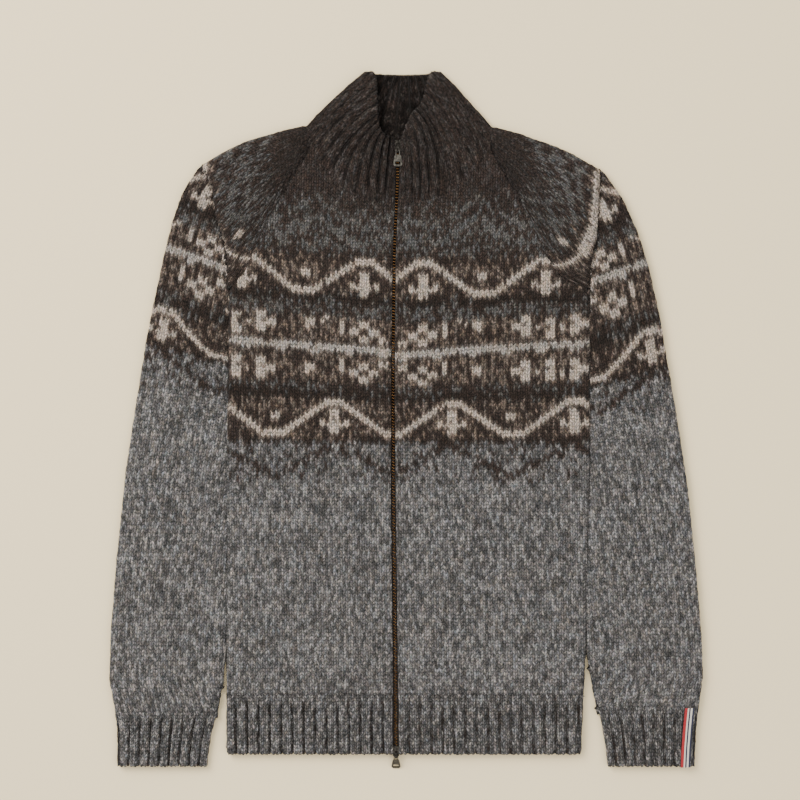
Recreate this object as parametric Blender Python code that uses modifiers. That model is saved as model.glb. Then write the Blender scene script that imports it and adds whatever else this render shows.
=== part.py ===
"""A zip-up knitted cardigan with raglan sleeves, laid flat on its back with its front up.

The frame: +Z up from the surface it lies on, +Y towards the collar, +X to the wearer's left.
The origin is under the middle of the whole outline. Sizes below are in millimetres, and
MM turns them into Blender's metres when a mesh is made.
"""

import math
from collections import namedtuple

import bmesh
import bpy
import numpy as np

MM = 0.001

# Cloth and the gaps between pieces
WALL = 3.6  # thickness of the heavy brushed knit
SEAM = 0.6  # clearance between two pieces that are linked together
HOLLOW = 3.0  # air left between the front and the back where they lie on each other

# Heights above the surface
FRONT_TOP = 2 * WALL + HOLLOW + 0.8  # upper face of the fronts away from the zip
ZIP_EDGE_TOP = FRONT_TOP - 0.8  # upper face of the fronts beside the zip
EDGE_RADIUS = FRONT_TOP / 2  # the body's side edge is a half circle, shared by front and back
ARC_STEPS = 3  # facets in a quarter of an edge

# Lengths along the body
HEM_END_Y = -378.0
HEM_TOP_Y = -310.0
UNDERARM_Y = 148.0

# Ribs
RIB_PITCH = 12.8
RIB_RISE = 1.3
RIB_PROFILE = (0.0, 1.0, 0.8)  # valley, then the two sides of the crest
HEM_ROWS = (0.0, 0.1, 0.55, 1.0)  # shares of the hem's length
HEM_START_RELIEF = 0.3  # the ribs grow out of the plain knit

# Zip
TAPE_WIDTH = 11.0
TAPE_THICK = 0.9
TAPE_Z = 5.4
CHAIN_WIDTH = 3.4
CHAIN_THICK = 2.0
CHAIN_Z = 6.6
SLIDER_LENGTH = 14.0
PIVOT_FROM_END = 2.1
PULL_DROOP_DEG = 38.0  # the lower pull leans down to the surface

Point = namedtuple("Point", "x y")
Section = namedtuple("Section", "inner_x inner_y outer_x outer_y height fold")
Station = namedtuple("Station", "top_x top_y top_z base_x base_y base_z swell")

ZIP_LINE = (  # from hem to collar, not quite straight on the flat garment
    Point(-11.6, -378.0),
    Point(-12.6, -250.0),
    Point(-14.6, -80.0),
    Point(-15.0, 45.0),
    Point(-13.6, 190.0),
    Point(-9.9, 270.0),
    Point(-9.3, 330.0),
)
ZIP_HALF_GAP = 2.8
ZIP_END_HALF_GAP = 4.0  # wider beside the sliders
ZIP_END_SPAN = 34.0

SIDE_LEFT = (
    Point(198.0, -378.0),
    Point(200.0, -310.0),
    Point(202.5, -264.0),
    Point(205.0, -158.0),
    Point(208.0, -56.0),
    Point(208.0, 148.0),
)
SIDE_RIGHT = (
    Point(-203.0, -378.0),
    Point(-203.0, -90.0),
    Point(-202.0, 23.0),
    Point(-201.0, 148.0),
)
RAGLAN_LEFT = (
    Point(208.0, 148.0),
    Point(174.0, 163.0),
    Point(157.0, 187.0),
    Point(138.0, 230.0),
    Point(116.0, 268.0),
    Point(95.0, 306.0),
)
RAGLAN_RIGHT = (
    Point(-201.0, 148.0),
    Point(-182.0, 168.0),
    Point(-173.0, 190.0),
    Point(-154.0, 230.0),
    Point(-132.0, 268.0),
    Point(-109.0, 306.0),
)
COLLAR_SEAM_LEFT = (
    Point(-8.0, 249.0),
    Point(27.0, 252.0),
    Point(52.0, 265.0),
    Point(76.0, 288.0),
    Point(90.0, 307.0),
)
COLLAR_SEAM_RIGHT = (
    Point(-14.6, 249.0),
    Point(-46.0, 252.0),
    Point(-70.0, 265.0),
    Point(-92.0, 288.0),
    Point(-104.0, 307.0),
)

# A sleeve turns about the underarm from the shoulder to the side of the body. The tuck that
# this makes is a step in its upper face: "fold" is how far a section stands above its height.
SLEEVE_LEFT = (
    Section(209.2, 148.6, 100.8, 331.5, 11.0, 0.0),
    Section(209.8, 149.0, 126.0, 325.0, 11.0, 0.5),
    Section(210.3, 149.4, 171.0, 309.5, 11.0, 1.5),
    Section(210.8, 149.8, 220.0, 281.5, 11.0, 4.5),
    Section(211.6, 150.0, 226.5, 277.0, 9.0, 0.0),
    Section(212.2, 149.4, 245.0, 251.0, 9.2, 0.3),
    Section(212.6, 146.5, 262.0, 213.0, 9.6, 0.8),
    Section(212.0, 138.0, 275.0, 172.0, 9.8, 1.0),
    Section(210.8, 120.0, 288.0, 112.0, 10.0, 1.0),
    Section(208.9, 85.0, 298.5, 50.0, 10.0, 0.8),
    Section(208.8, 30.0, 309.0, -12.0, 10.0, 0.6),
    Section(208.8, -56.0, 318.5, -75.0, 10.0, 0.5),
    Section(205.8, -158.0, 327.5, -162.0, 10.0, 0.5),
    Section(203.6, -250.0, 334.5, -245.0, 10.0, 0.5),
    Section(208.0, -287.0, 336.0, -292.0, 10.0, 0.5),
    Section(215.5, -323.4, 331.0, -323.4, 10.0, 0.0),
)
SLEEVE_RIGHT = (
    Section(-202.2, 148.6, -116.2, 333.0, 11.0, 0.0),
    Section(-202.8, 149.2, -139.0, 328.0, 11.0, 0.5),
    Section(-203.3, 149.7, -184.0, 315.0, 11.0, 1.5),
    Section(-203.8, 150.2, -230.0, 288.5, 11.0, 4.0),
    Section(-204.6, 150.4, -236.5, 284.0, 9.0, 0.0),
    Section(-205.2, 149.8, -253.0, 258.0, 9.2, 0.3),
    Section(-205.4, 147.0, -264.5, 226.0, 9.6, 0.8),
    Section(-205.0, 139.0, -273.5, 190.0, 9.8, 1.0),
    Section(-204.4, 120.0, -284.5, 140.0, 10.0, 1.0),
    Section(-202.6, 85.0, -295.0, 86.0, 10.0, 0.8),
    Section(-202.9, 30.0, -305.0, 25.0, 10.0, 0.6),
    Section(-203.6, -60.0, -317.5, -56.0, 10.0, 0.5),
    Section(-203.9, -158.0, -328.0, -158.0, 10.0, 0.5),
    Section(-203.9, -240.0, -334.5, -240.0, 10.0, 0.5),
    Section(-207.5, -297.0, -336.0, -292.0, 10.0, 0.5),
    Section(-213.5, -329.4, -330.0, -329.4, 10.0, 0.0),
)
CUFF_LEFT = (
    Section(216.0, -324.2, 330.5, -324.2, 10.0, 0.0),
    Section(221.5, -346.0, 328.5, -346.0, 10.4, 0.0),
    Section(225.5, -369.0, 326.8, -369.0, 10.4, 0.0),
    Section(228.0, -391.8, 326.0, -391.8, 9.8, 0.0),
)
CUFF_RIGHT = (
    Section(-214.0, -330.2, -329.5, -330.2, 10.0, 0.0),
    Section(-219.5, -350.0, -327.0, -350.0, 10.4, 0.0),
    Section(-223.0, -370.0, -327.0, -370.0, 10.4, 0.0),
    Section(-225.5, -391.8, -327.0, -391.8, 9.8, 0.0),
)
CUFF_RIBS = 9

# The collar from the zip round the side fold to the middle of the back: each station is one
# rib line, from the free edge (top) down to the neck seam (base), at the wall's middle.
COLLAR_LEFT = (
    Station(-4.8, 319.5, 8.3, -6.2, 249.8, 8.3, 0.0),
    Station(0.5, 327.0, 11.5, 12.0, 251.0, 9.0, 2.0),
    Station(9.0, 341.0, 17.0, 31.0, 254.5, 9.2, 6.0),
    Station(14.0, 354.0, 17.0, 44.0, 261.5, 9.2, 4.0),
    Station(18.0, 367.0, 16.0, 57.0, 271.0, 9.2, 0.5),
    Station(21.0, 378.0, 14.5, 70.0, 283.0, 9.2, 2.0),
    Station(24.0, 387.0, 13.0, 82.0, 297.0, 9.2, 2.5),
    Station(29.0, 392.0, 11.5, 89.5, 309.0, 8.8, 2.0),
    Station(36.5, 393.0, 6.8, 97.5, 328.0, 6.0, 0.5),
    Station(31.0, 393.0, 1.8, 90.0, 313.0, 1.8, 0.0),
)
COLLAR_RIGHT = (
    Station(-14.0, 319.5, 8.3, -15.4, 249.8, 8.3, 0.0),
    Station(-21.0, 324.5, 12.5, -31.0, 251.0, 9.0, 2.5),
    Station(-29.0, 331.0, 17.5, -48.0, 254.5, 9.2, 5.5),
    Station(-31.0, 340.0, 18.5, -62.0, 262.0, 9.2, 1.0),
    Station(-32.0, 351.0, 18.0, -76.0, 272.5, 9.2, 1.5),
    Station(-33.0, 364.0, 16.5, -87.0, 284.0, 9.2, 2.5),
    Station(-34.0, 377.0, 14.5, -97.0, 297.0, 9.2, 2.5),
    Station(-37.0, 389.0, 12.0, -104.0, 309.0, 8.8, 2.0),
    Station(-44.5, 392.5, 6.8, -113.0, 329.5, 6.0, 0.5),
    Station(-38.0, 393.0, 1.8, -105.0, 314.0, 1.8, 0.0),
)
COLLAR_BACK_MIDDLE = Station(-2.5, 389.0, 1.8, -6.0, 307.4, 1.8, 0.0)
COLLAR_RIBS = 11
COLLAR_BACK_COLUMNS = 10
COLLAR_ROWS = 7

MATERIALS = {  # colour, roughness, metallic
    "marl_knit": ((0.15, 0.14, 0.135), 0.95, 0.0),
    "pattern_knit": ((0.09, 0.075, 0.068), 0.95, 0.0),
    "collar_rib": ((0.035, 0.028, 0.025), 0.95, 0.0),
    "zip_tape": ((0.02, 0.017, 0.015), 0.9, 0.0),
    "brass_teeth": ((0.36, 0.2, 0.08), 0.35, 1.0),
    "dark_nickel": ((0.3, 0.29, 0.28), 0.3, 1.0),
    "woven_tab": ((0.5, 0.05, 0.07), 0.8, 0.0),
}


# --- curves -----------------------------------------------------------------------------


def blend(a, b, share):
    return a + (b - a) * share


def spline(rows, share):
    """The row at a share of the way through a table, on a Catmull-Rom curve through its rows."""
    table = np.array(rows, float)
    place = min(max(share, 0.0), 1.0) * (len(table) - 1)
    index = min(int(place), len(table) - 2)
    t = place - index
    p1, p2 = table[index], table[index + 1]
    p0 = table[index - 1] if index > 0 else 2 * p1 - p2
    p3 = table[index + 2] if index + 2 < len(table) else 2 * p2 - p1
    return 0.5 * (2 * p1 + (p2 - p0) * t + (2 * p0 - 5 * p1 + 4 * p2 - p3) * t**2
                  + (3 * p1 - p0 - 3 * p2 + p3) * t**3)


def along(points, share):
    """The point at a share of a polyline's length."""
    table = np.array(points, float)
    steps = np.linalg.norm(np.diff(table, axis=0), axis=1)
    lengths = np.concatenate([[0.0], np.cumsum(steps)])
    target = share * lengths[-1]
    return np.array([np.interp(target, lengths, table[:, k]) for k in range(table.shape[1])])


def x_at(line, y):
    """x where a line that runs up the garment crosses y."""
    return float(np.interp(y, [p.y for p in line], [p.x for p in line]))


def zip_half_gap(y):
    top, bottom = ZIP_LINE[-1].y, ZIP_LINE[0].y
    from_end = min(top - y, y - bottom)
    return float(np.interp(from_end, [ZIP_END_SPAN, 2 * ZIP_END_SPAN], [ZIP_END_HALF_GAP, ZIP_HALF_GAP]))


def zip_edge(side, y):
    return x_at(ZIP_LINE, y) + side * zip_half_gap(y)


# --- solids from grids of points --------------------------------------------------------


def material(name):
    colour, roughness, metallic = MATERIALS[name]
    made = bpy.data.materials.get(name) or bpy.data.materials.new(name)
    made.use_nodes = True
    shader = made.node_tree.nodes["Principled BSDF"]
    shader.inputs["Base Color"].default_value = (*colour, 1.0)
    shader.inputs["Roughness"].default_value = roughness
    shader.inputs["Metallic"].default_value = metallic
    return made


def add_object(name, mesh, finish):
    mesh.materials.clear()
    mesh.materials.append(material(finish))
    mesh.shade_smooth()
    mesh.set_sharp_from_angle(angle=math.radians(50))
    made = bpy.data.objects.new(name, mesh)
    bpy.data.collections["zip_cardigan"].objects.link(made)
    return made


def wall_between(name, outer, inner, finish, ring=False):
    """A closed wall between two equal grids of points, each a list of rows."""
    rows, columns = len(outer), len(outer[0])
    last = columns if ring else columns - 1
    shape = bmesh.new()

    def skin(grid):
        return [[shape.verts.new(np.asarray(p) * MM) for p in row] for row in grid]

    skins = (skin(outer), skin(inner))

    def quad(skin_a, skin_b, first, second):
        a, b = first
        c, d = second
        corners = [skins[skin_a][a[0]][a[1]], skins[skin_a][b[0]][b[1]],
                   skins[skin_b][d[0]][d[1]], skins[skin_b][c[0]][c[1]]]
        shape.faces.new(corners)

    for side in (0, 1):
        for i in range(rows - 1):
            for j in range(last):
                k = (j + 1) % columns
                quad(side, side, ((i, j), (i, k)), ((i + 1, j), (i + 1, k)))
    for i in (0, rows - 1):
        for j in range(last):
            k = (j + 1) % columns
            quad(0, 1, ((i, j), (i, k)), ((i, j), (i, k)))
    if not ring:
        for j in (0, columns - 1):
            for i in range(rows - 1):
                quad(0, 1, ((i, j), (i + 1, j)), ((i, j), (i + 1, j)))
    bmesh.ops.recalc_face_normals(shape, faces=shape.faces)
    mesh = bpy.data.meshes.new(name)
    shape.to_mesh(mesh)
    shape.free()
    return add_object(name, mesh, finish)


def edge_arc(radius, top):
    """(outwards, up) steps from the side seam to the flat, for a quarter of a round edge."""
    sign = 1 if top else -1
    angles = [0.5 * math.pi * k / ARC_STEPS for k in range(ARC_STEPS + 1)]
    return [(radius * math.cos(a), sign * radius * math.sin(a)) for a in angles]


# --- the body ---------------------------------------------------------------------------

SIDE_ROWS = 8
SEAM_ROWS = 9  # along a raglan seam
ZIP_ROWS = 3  # of those, the ones that end at the zip and not at the neckline
PANEL_COLUMNS = 6
ZIP_RISE = 4.0  # a front reaches its full height a quarter of the way from the zip to the side
RAGLAN_INSET = 3.0  # the back's last columns beside the raglan seam


def front_top(share):
    """Height of a front's upper face at a share of the way from the zip to the side."""
    return blend(ZIP_EDGE_TOP, FRONT_TOP, min(1.0, ZIP_RISE * share))


def body_row(inner, side, sign, round_edge):
    """One row of a front from the zip or the neckline to the side: (outer points, inner points)."""
    inner, side = np.array(inner), np.array(side)
    flat_end = side - np.array([sign * EDGE_RADIUS, 0.0]) if round_edge else side
    shares = [k / PANEL_COLUMNS for k in range(PANEL_COLUMNS)]
    if round_edge:
        shares.append(1.0)
    else:  # the last column is split, so that every row has as many points as one with an edge
        steps = ARC_STEPS + 1
        shares += [(PANEL_COLUMNS - 1 + k / steps) / PANEL_COLUMNS for k in range(1, steps + 1)]
    outer = [(*blend(inner, flat_end, share), front_top(share)) for share in shares]
    lining = [(x, y, z - WALL) for x, y, z in outer]
    if round_edge:
        for points, radius in ((outer, EDGE_RADIUS), (lining, EDGE_RADIUS - WALL)):
            for out, up in reversed(edge_arc(radius, True)[:-1]):
                points.append((flat_end[0] + sign * out, flat_end[1], EDGE_RADIUS + up + SEAM / 4))
    return outer, lining


def seam_point(raglan, step, sign, towards_sleeve):
    """One of the points that both sides of a raglan seam share, moved off it by half the gap."""
    return along(raglan, step / SEAM_ROWS) + towards_sleeve * np.array([sign * SEAM / 2, SEAM / 2])


def front(name, sign, side, raglan, collar_seam):
    rows = []
    for k in range(SIDE_ROWS + 1):
        y = blend(HEM_TOP_Y + SEAM, UNDERARM_Y - SEAM, k / SIDE_ROWS)
        rows.append(body_row((zip_edge(sign, y), y), (x_at(side, y), y), sign, True))
    neck_y = collar_seam[0].y - SEAM
    neckline = [(zip_edge(sign, neck_y), neck_y)]
    neckline += [(p.x + sign * SEAM, p.y - SEAM) for p in collar_seam[1:]]
    for k in range(1, SEAM_ROWS + 1):
        if k <= ZIP_ROWS:
            y = blend(UNDERARM_Y, neck_y, k / ZIP_ROWS)
            inner = (zip_edge(sign, y), y)
        else:
            inner = along(neckline, (k - ZIP_ROWS) / (SEAM_ROWS - ZIP_ROWS))
        outer = seam_point(raglan, k, sign, -1)
        rows.append(body_row(inner, outer, sign, False))
    wall_between(name, [r[0] for r in rows], [r[1] for r in rows], "pattern_knit")


def back_row(left, right, round_edge):
    """One row of the back from the left side to the right: (points underneath, points inside)."""
    inset = EDGE_RADIUS if round_edge else RAGLAN_INSET
    start = np.array([left[0] - inset, left[1]])
    end = np.array([right[0] + inset, right[1]])
    columns = 2 * PANEL_COLUMNS
    flat = [blend(start, end, k / columns) for k in range(columns + 1)]
    rows = []
    for radius, level in ((EDGE_RADIUS, 0.0), (EDGE_RADIUS - WALL, WALL)):
        if round_edge:
            edge = [(out, EDGE_RADIUS + up - SEAM / 4) for out, up in edge_arc(radius, False)[:-1]]
        else:
            edge = [(inset * (1 - k / ARC_STEPS), level) for k in range(ARC_STEPS)]
        row = [(start[0] + out, start[1], z) for out, z in edge]
        row += [(x, y, level) for x, y in flat]
        row += [(end[0] - out, end[1], z) for out, z in reversed(edge)]
        rows.append(row)
    return rows


def back():
    rows = []
    for k in range(SIDE_ROWS + 1):
        y = blend(HEM_TOP_Y + SEAM, UNDERARM_Y - SEAM, k / SIDE_ROWS)
        rows.append(back_row((x_at(SIDE_LEFT, y), y), (x_at(SIDE_RIGHT, y), y), True))
    for k in range(1, SEAM_ROWS + 1):
        left = seam_point(RAGLAN_LEFT, k, 1, -1)
        right = seam_point(RAGLAN_RIGHT, k, -1, -1)
        rows.append(back_row(left, right, False))
    wall_between("back", [r[0] for r in rows], [r[1] for r in rows], "marl_knit")


# --- ribbed pieces ----------------------------------------------------------------------


def rib(column):
    return RIB_RISE * RIB_PROFILE[column % len(RIB_PROFILE)]


def hem_front(name, sign, side):
    """The fronts' hem: the same side edge as the fronts, with the ribs raised in its upper points."""
    outer, inner = [], []
    width = abs(side[0].x - ZIP_LINE[0].x)
    columns = len(RIB_PROFILE) * round(width / RIB_PITCH)
    for row_share in HEM_ROWS:
        y = blend(HEM_TOP_Y, HEM_END_Y, row_share)
        start, end = zip_edge(sign, y), x_at(side, y) - sign * EDGE_RADIUS
        relief = HEM_START_RELIEF if row_share == 0 else 1.0
        row_outer, row_inner = [], []
        for k in range(columns + 1):
            x = blend(start, end, k / columns)
            top = front_top(k / columns)
            row_outer.append((x, y, top - RIB_RISE / 2 + relief * rib(k)))
            row_inner.append((x, y, top - WALL))
        for points, radius in ((row_outer, EDGE_RADIUS), (row_inner, EDGE_RADIUS - WALL)):
            for out, up in reversed(edge_arc(radius, True)[:-1]):
                points.append((end + sign * out, y, EDGE_RADIUS + up + SEAM / 4))
        outer.append(row_outer)
        inner.append(row_inner)
    wall_between(name, outer, inner, "marl_knit")


def hem_back():
    rows = []
    for y in (HEM_TOP_Y, (HEM_TOP_Y + HEM_END_Y) / 2, HEM_END_Y):
        rows.append(back_row((x_at(SIDE_LEFT, y), y), (x_at(SIDE_RIGHT, y), y), True))
    wall_between("hem_back", [r[0] for r in rows], [r[1] for r in rows], "marl_knit")


# --- sleeves and cuffs: flattened tubes through sections ---------------------------------


def tube_section(section, upper_columns, lower_columns, bow=None, relief=0.0):
    """(outer ring, inner ring) of a flat tube. It lies on z = 0 between its inner and outer edge."""
    start = np.array([section.inner_x, section.inner_y])
    end = np.array([section.outer_x, section.outer_y])
    length = np.linalg.norm(end - start)
    direction = (end - start) / length
    radius = section.height / 2

    def plan(distance):
        point = start + direction * distance
        return point if bow is None else point + bow(distance / length)

    outer, inner = [], []
    for k in range(upper_columns + 1):
        share = k / upper_columns
        distance = blend(radius, length - radius, share)
        lift = section.fold * math.sin(math.pi * share) ** 0.5 + relief * rib(k)
        outer.append((*plan(distance), section.height + lift))
        inner.append((*plan(distance), section.height - WALL))
    for centre, first, last in ((length - radius, 90, -90), (radius, -90, -270)):
        for k in range(1, 2 * ARC_STEPS):
            angle = math.radians(blend(first, last, k / (2 * ARC_STEPS)))
            for points, size in ((outer, radius), (inner, radius - WALL)):
                distance = centre + size * math.cos(angle)
                points.append((*plan(distance), radius + size * math.sin(angle)))
        if first == 90:
            for k in range(lower_columns + 1):
                distance = blend(length - radius, radius, k / lower_columns)
                outer.append((*plan(distance), 0.0))
                inner.append((*plan(distance), WALL))
    return outer, inner


def sleeve(name, sign, sections, raglan):
    """The first sections follow the curve of the raglan seam, then they straighten."""
    seam = [tuple(seam_point(raglan, k, sign, 1)) for k in range(SEAM_ROWS + 1)]
    seam.append((sections[0].outer_x, sections[0].outer_y))
    first, last = np.array(seam[0]), np.array(seam[-1])
    chord = last - first
    bowed_sections = 3
    outer, inner = [], []
    for index, section in enumerate(sections):
        strength = max(0.0, 1 - index / bowed_sections)

        def bow(share, strength=strength):
            seam_shares = [float(np.dot(np.array(p) - first, chord) / np.dot(chord, chord)) for p in seam]
            offsets = [np.array(p) - first - chord * s for p, s in zip(seam, seam_shares)]
            x = np.interp(share, seam_shares, [o[0] for o in offsets])
            y = np.interp(share, seam_shares, [o[1] for o in offsets])
            return strength * np.array([x, y])

        ring_outer, ring_inner = tube_section(section, 8, 4, bow)
        outer.append(ring_outer)
        inner.append(ring_inner)
    wall_between(name, outer, inner, "pattern_knit", ring=True)


def cuff(name, sections):
    rings = [tube_section(s, len(RIB_PROFILE) * CUFF_RIBS, 4, relief=1.0) for s in sections]
    return wall_between(name, [r[0] for r in rings], [r[1] for r in rings], "marl_knit", ring=True)


TAB_OUTER_EDGE = (  # from the top of the cuff to its end
    Point(325.5, -325.0),
    Point(323.3, -347.0),
    Point(321.5, -370.0),
    Point(320.5, -392.0),
)
TAB_WIDTH = 10.5
TAB_THICK = 0.7
TAB_CLEAR = 0.4  # above the rib crests
TAB_DROP = 0.6  # its outer edge follows the cuff's rounded side


def cuff_tab():
    """A woven tab on the left cuff's upper face, near its outer edge, laid on the rib crests."""
    low = max(section.height for section in CUFF_LEFT) + RIB_RISE + TAB_CLEAR
    outer, inner = [], []
    for edge, y in TAB_OUTER_EDGE:
        inner.append([(edge - TAB_WIDTH, y, low), (edge - TAB_WIDTH / 2, y, low), (edge, y, low - TAB_DROP)])
        outer.append([(x, y, z + TAB_THICK) for x, y, z in inner[-1]])
    wall_between("cuff_tab", outer, inner, "woven_tab")


# --- collar -----------------------------------------------------------------------------


def rib_strength(share):
    """Ribs are flat beside the zip, where the pull lies, and where the collar turns under."""
    from_zip, from_fold = 6 * share, 4 * (1 - share)
    return min(1.0, from_zip, from_fold)


def collar_columns():
    """(station, rib relief) for each column of points, from the left zip edge round to the right."""
    columns = []
    front_columns = len(RIB_PROFILE) * COLLAR_RIBS
    for k in range(front_columns + 1):
        share = k / front_columns
        columns.append((spline(COLLAR_LEFT, share), rib_strength(share) * rib(k)))
    across_back = (COLLAR_LEFT[-1], COLLAR_BACK_MIDDLE, COLLAR_RIGHT[-1])
    for k in range(1, COLLAR_BACK_COLUMNS):
        columns.append((spline(across_back, k / COLLAR_BACK_COLUMNS), 0.0))
    for k in range(front_columns, -1, -1):
        share = k / front_columns
        columns.append((spline(COLLAR_RIGHT, share), rib_strength(share) * rib(k)))
    return columns


def collar():
    columns = collar_columns()
    middle = np.zeros((COLLAR_ROWS + 1, len(columns), 3))
    relief = np.zeros((COLLAR_ROWS + 1, len(columns)))
    for j, (station, rise) in enumerate(columns):
        top, base, swell = np.array(station[:3]), np.array(station[3:6]), station[6]
        for i in range(COLLAR_ROWS + 1):
            share = i / COLLAR_ROWS
            middle[i, j] = blend(base, top, share)
            middle[i, j, 2] += swell * math.sin(math.pi * share)
            relief[i, j] = rise * min(1.0, 0.2 + 3 * share)  # the ribs grow out of the neck seam
    across = np.gradient(middle, axis=1)
    upwards = np.gradient(middle, axis=0)
    normal = np.cross(upwards, across)
    normal /= np.linalg.norm(normal, axis=2, keepdims=True)
    if normal[0, 0, 2] < 0:
        normal = -normal
    outer = middle + normal * (WALL / 2 + relief[..., None])
    inner = middle - normal * (WALL / 2)
    outer[..., 2] = np.maximum(outer[..., 2], 0.0)
    wall_between("collar", outer, inner, "collar_rib")


# --- zip --------------------------------------------------------------------------------


def ribbon(name, finish, side, near, far, low, thick, start_y, end_y):
    """A flat strip along the zip line, between two distances from it."""
    shape = bmesh.new()
    grid = []
    for k in range(RIBBON_STEPS + 1):
        y = blend(start_y, end_y, k / RIBBON_STEPS)
        xs = [x_at(ZIP_LINE, y) + side * distance for distance in (near, far)]
        grid.append([shape.verts.new(np.array([x, y, low]) * MM) for x in xs])
    for a, b in zip(grid, grid[1:]):
        left_to_right = side * (far - near) > 0
        shape.faces.new((a[0], a[1], b[1], b[0]) if left_to_right else (a[1], a[0], b[0], b[1]))
    mesh = bpy.data.meshes.new(name)
    shape.to_mesh(mesh)
    shape.free()
    made = add_object(name, mesh, finish)
    solid = made.modifiers.new("thickness", "SOLIDIFY")
    solid.thickness = thick * MM
    solid.offset = 1.0
    return made


def block(name, centre, size):
    """A plain box, by its middle and its size."""
    shape = bmesh.new()
    bmesh.ops.create_cube(shape, size=1.0)
    bmesh.ops.scale(shape, vec=np.array(size) * MM, verts=shape.verts)
    bmesh.ops.translate(shape, vec=np.array(centre) * MM, verts=shape.verts)
    mesh = bpy.data.meshes.new(name)
    shape.to_mesh(mesh)
    shape.free()
    return bpy.data.objects.new(name, mesh)


RIBBON_STEPS = 10
SLIDER_HALF_WIDTH = 3.5
SLIDER_TONGUE_HALF_WIDTH = 1.2
SLIDER_LOWER_Z = (4.1, 5.0)
SLIDER_UPPER_Z = (8.9, 10.1)
BRIDGE_BAR_Z = (13.2, 14.4)
BRIDGE_HALF_WIDTH = 1.0
BRIDGE_LENGTH = 6.0
BRIDGE_LEG = 1.2
WEDGE_HALF_WIDTH = 1.1  # the wedge joins the two plates and parts the teeth
WEDGE_SPAN = (11.0, 13.6)
OVERLAP = 0.4  # how far the slider's pieces run into each other
PIVOT_Z = 12.0


def slider(name, x, end_y):
    """A slider whose pull hangs past end_y. Spans are distances from that end towards the collar."""

    def span(low, high, half_width, z):
        size = (2 * half_width, high - low, z[1] - z[0])
        return ((x, end_y + (low + high) / 2, sum(z) / 2), size)

    plate_start = PIVOT_FROM_END + OVERLAP
    leg_z = (SLIDER_UPPER_Z[1] - OVERLAP, BRIDGE_BAR_Z[1])
    wedge_z = (SLIDER_LOWER_Z[1] - OVERLAP, SLIDER_UPPER_Z[0] + OVERLAP)
    pieces = (
        span(plate_start, SLIDER_LENGTH, SLIDER_HALF_WIDTH, SLIDER_UPPER_Z),
        span(0.0, plate_start + 1.0, SLIDER_TONGUE_HALF_WIDTH, SLIDER_UPPER_Z),
        span(plate_start, SLIDER_LENGTH, SLIDER_HALF_WIDTH, SLIDER_LOWER_Z),
        span(*WEDGE_SPAN, WEDGE_HALF_WIDTH, wedge_z),
        span(0.0, BRIDGE_LEG, BRIDGE_HALF_WIDTH, leg_z),
        span(BRIDGE_LENGTH - BRIDGE_LEG, BRIDGE_LENGTH, BRIDGE_HALF_WIDTH, leg_z),
        span(OVERLAP, BRIDGE_LENGTH - OVERLAP, BRIDGE_HALF_WIDTH, BRIDGE_BAR_Z),
    )
    cutters = bpy.data.collections["helpers"]
    first = block(name, *pieces[0])
    bpy.data.collections["zip_cardigan"].objects.link(first)
    for number, piece in enumerate(pieces[1:]):
        joined = block(f"{name}_piece_{number}", *piece)
        joined.hide_render = True
        joined.display_type = "WIRE"
        cutters.objects.link(joined)
        union = first.modifiers.new(f"join_{number}", "BOOLEAN")
        union.operation = "UNION"
        union.object = joined
    first.data.materials.append(material("dark_nickel"))
    return first


def rounded(points, steps=3):
    """A closed outline with its corners cut to short arcs. Each row is x, y and the corner's radius."""
    outline = []
    count = len(points)
    for k in range(count):
        before, here, after = (np.array(points[(k + d) % count][:2], float) for d in (-1, 0, 1))
        radius = points[k][2]
        towards_before = (before - here) / np.linalg.norm(before - here)
        towards_after = (after - here) / np.linalg.norm(after - here)
        for step in range(steps + 1):
            t = step / steps
            start, end = here + towards_before * radius, here + towards_after * radius
            outline.append((1 - t) ** 2 * start + 2 * t * (1 - t) * here + t * t * end)
    return outline


PULL_OUTLINE = (  # corners of the plate from the pivot: x, y and the corner's radius
    (2.6, 0.6, 0.5),
    (2.6, -4.6, 0.4),
    (3.7, -6.2, 0.6),
    (5.3, -15.6, 1.2),
    (3.6, -18.1, 1.5),
    (-3.6, -18.1, 1.5),
    (-5.3, -15.6, 1.2),
    (-3.7, -6.2, 0.6),
    (-2.6, -4.6, 0.4),
    (-2.6, 0.6, 0.5),
)
PULL_EYE = ((1.5, -0.6, 0.2), (1.5, -4.9, 0.6), (-1.5, -4.9, 0.6), (-1.5, -0.6, 0.2))
PULL_HOLE = ((2.9, -12.4, 0.9), (3.2, -15.9, 1.2), (-3.2, -15.9, 1.2), (-2.9, -12.4, 0.9))
PULL_THICK = 1.2


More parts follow.
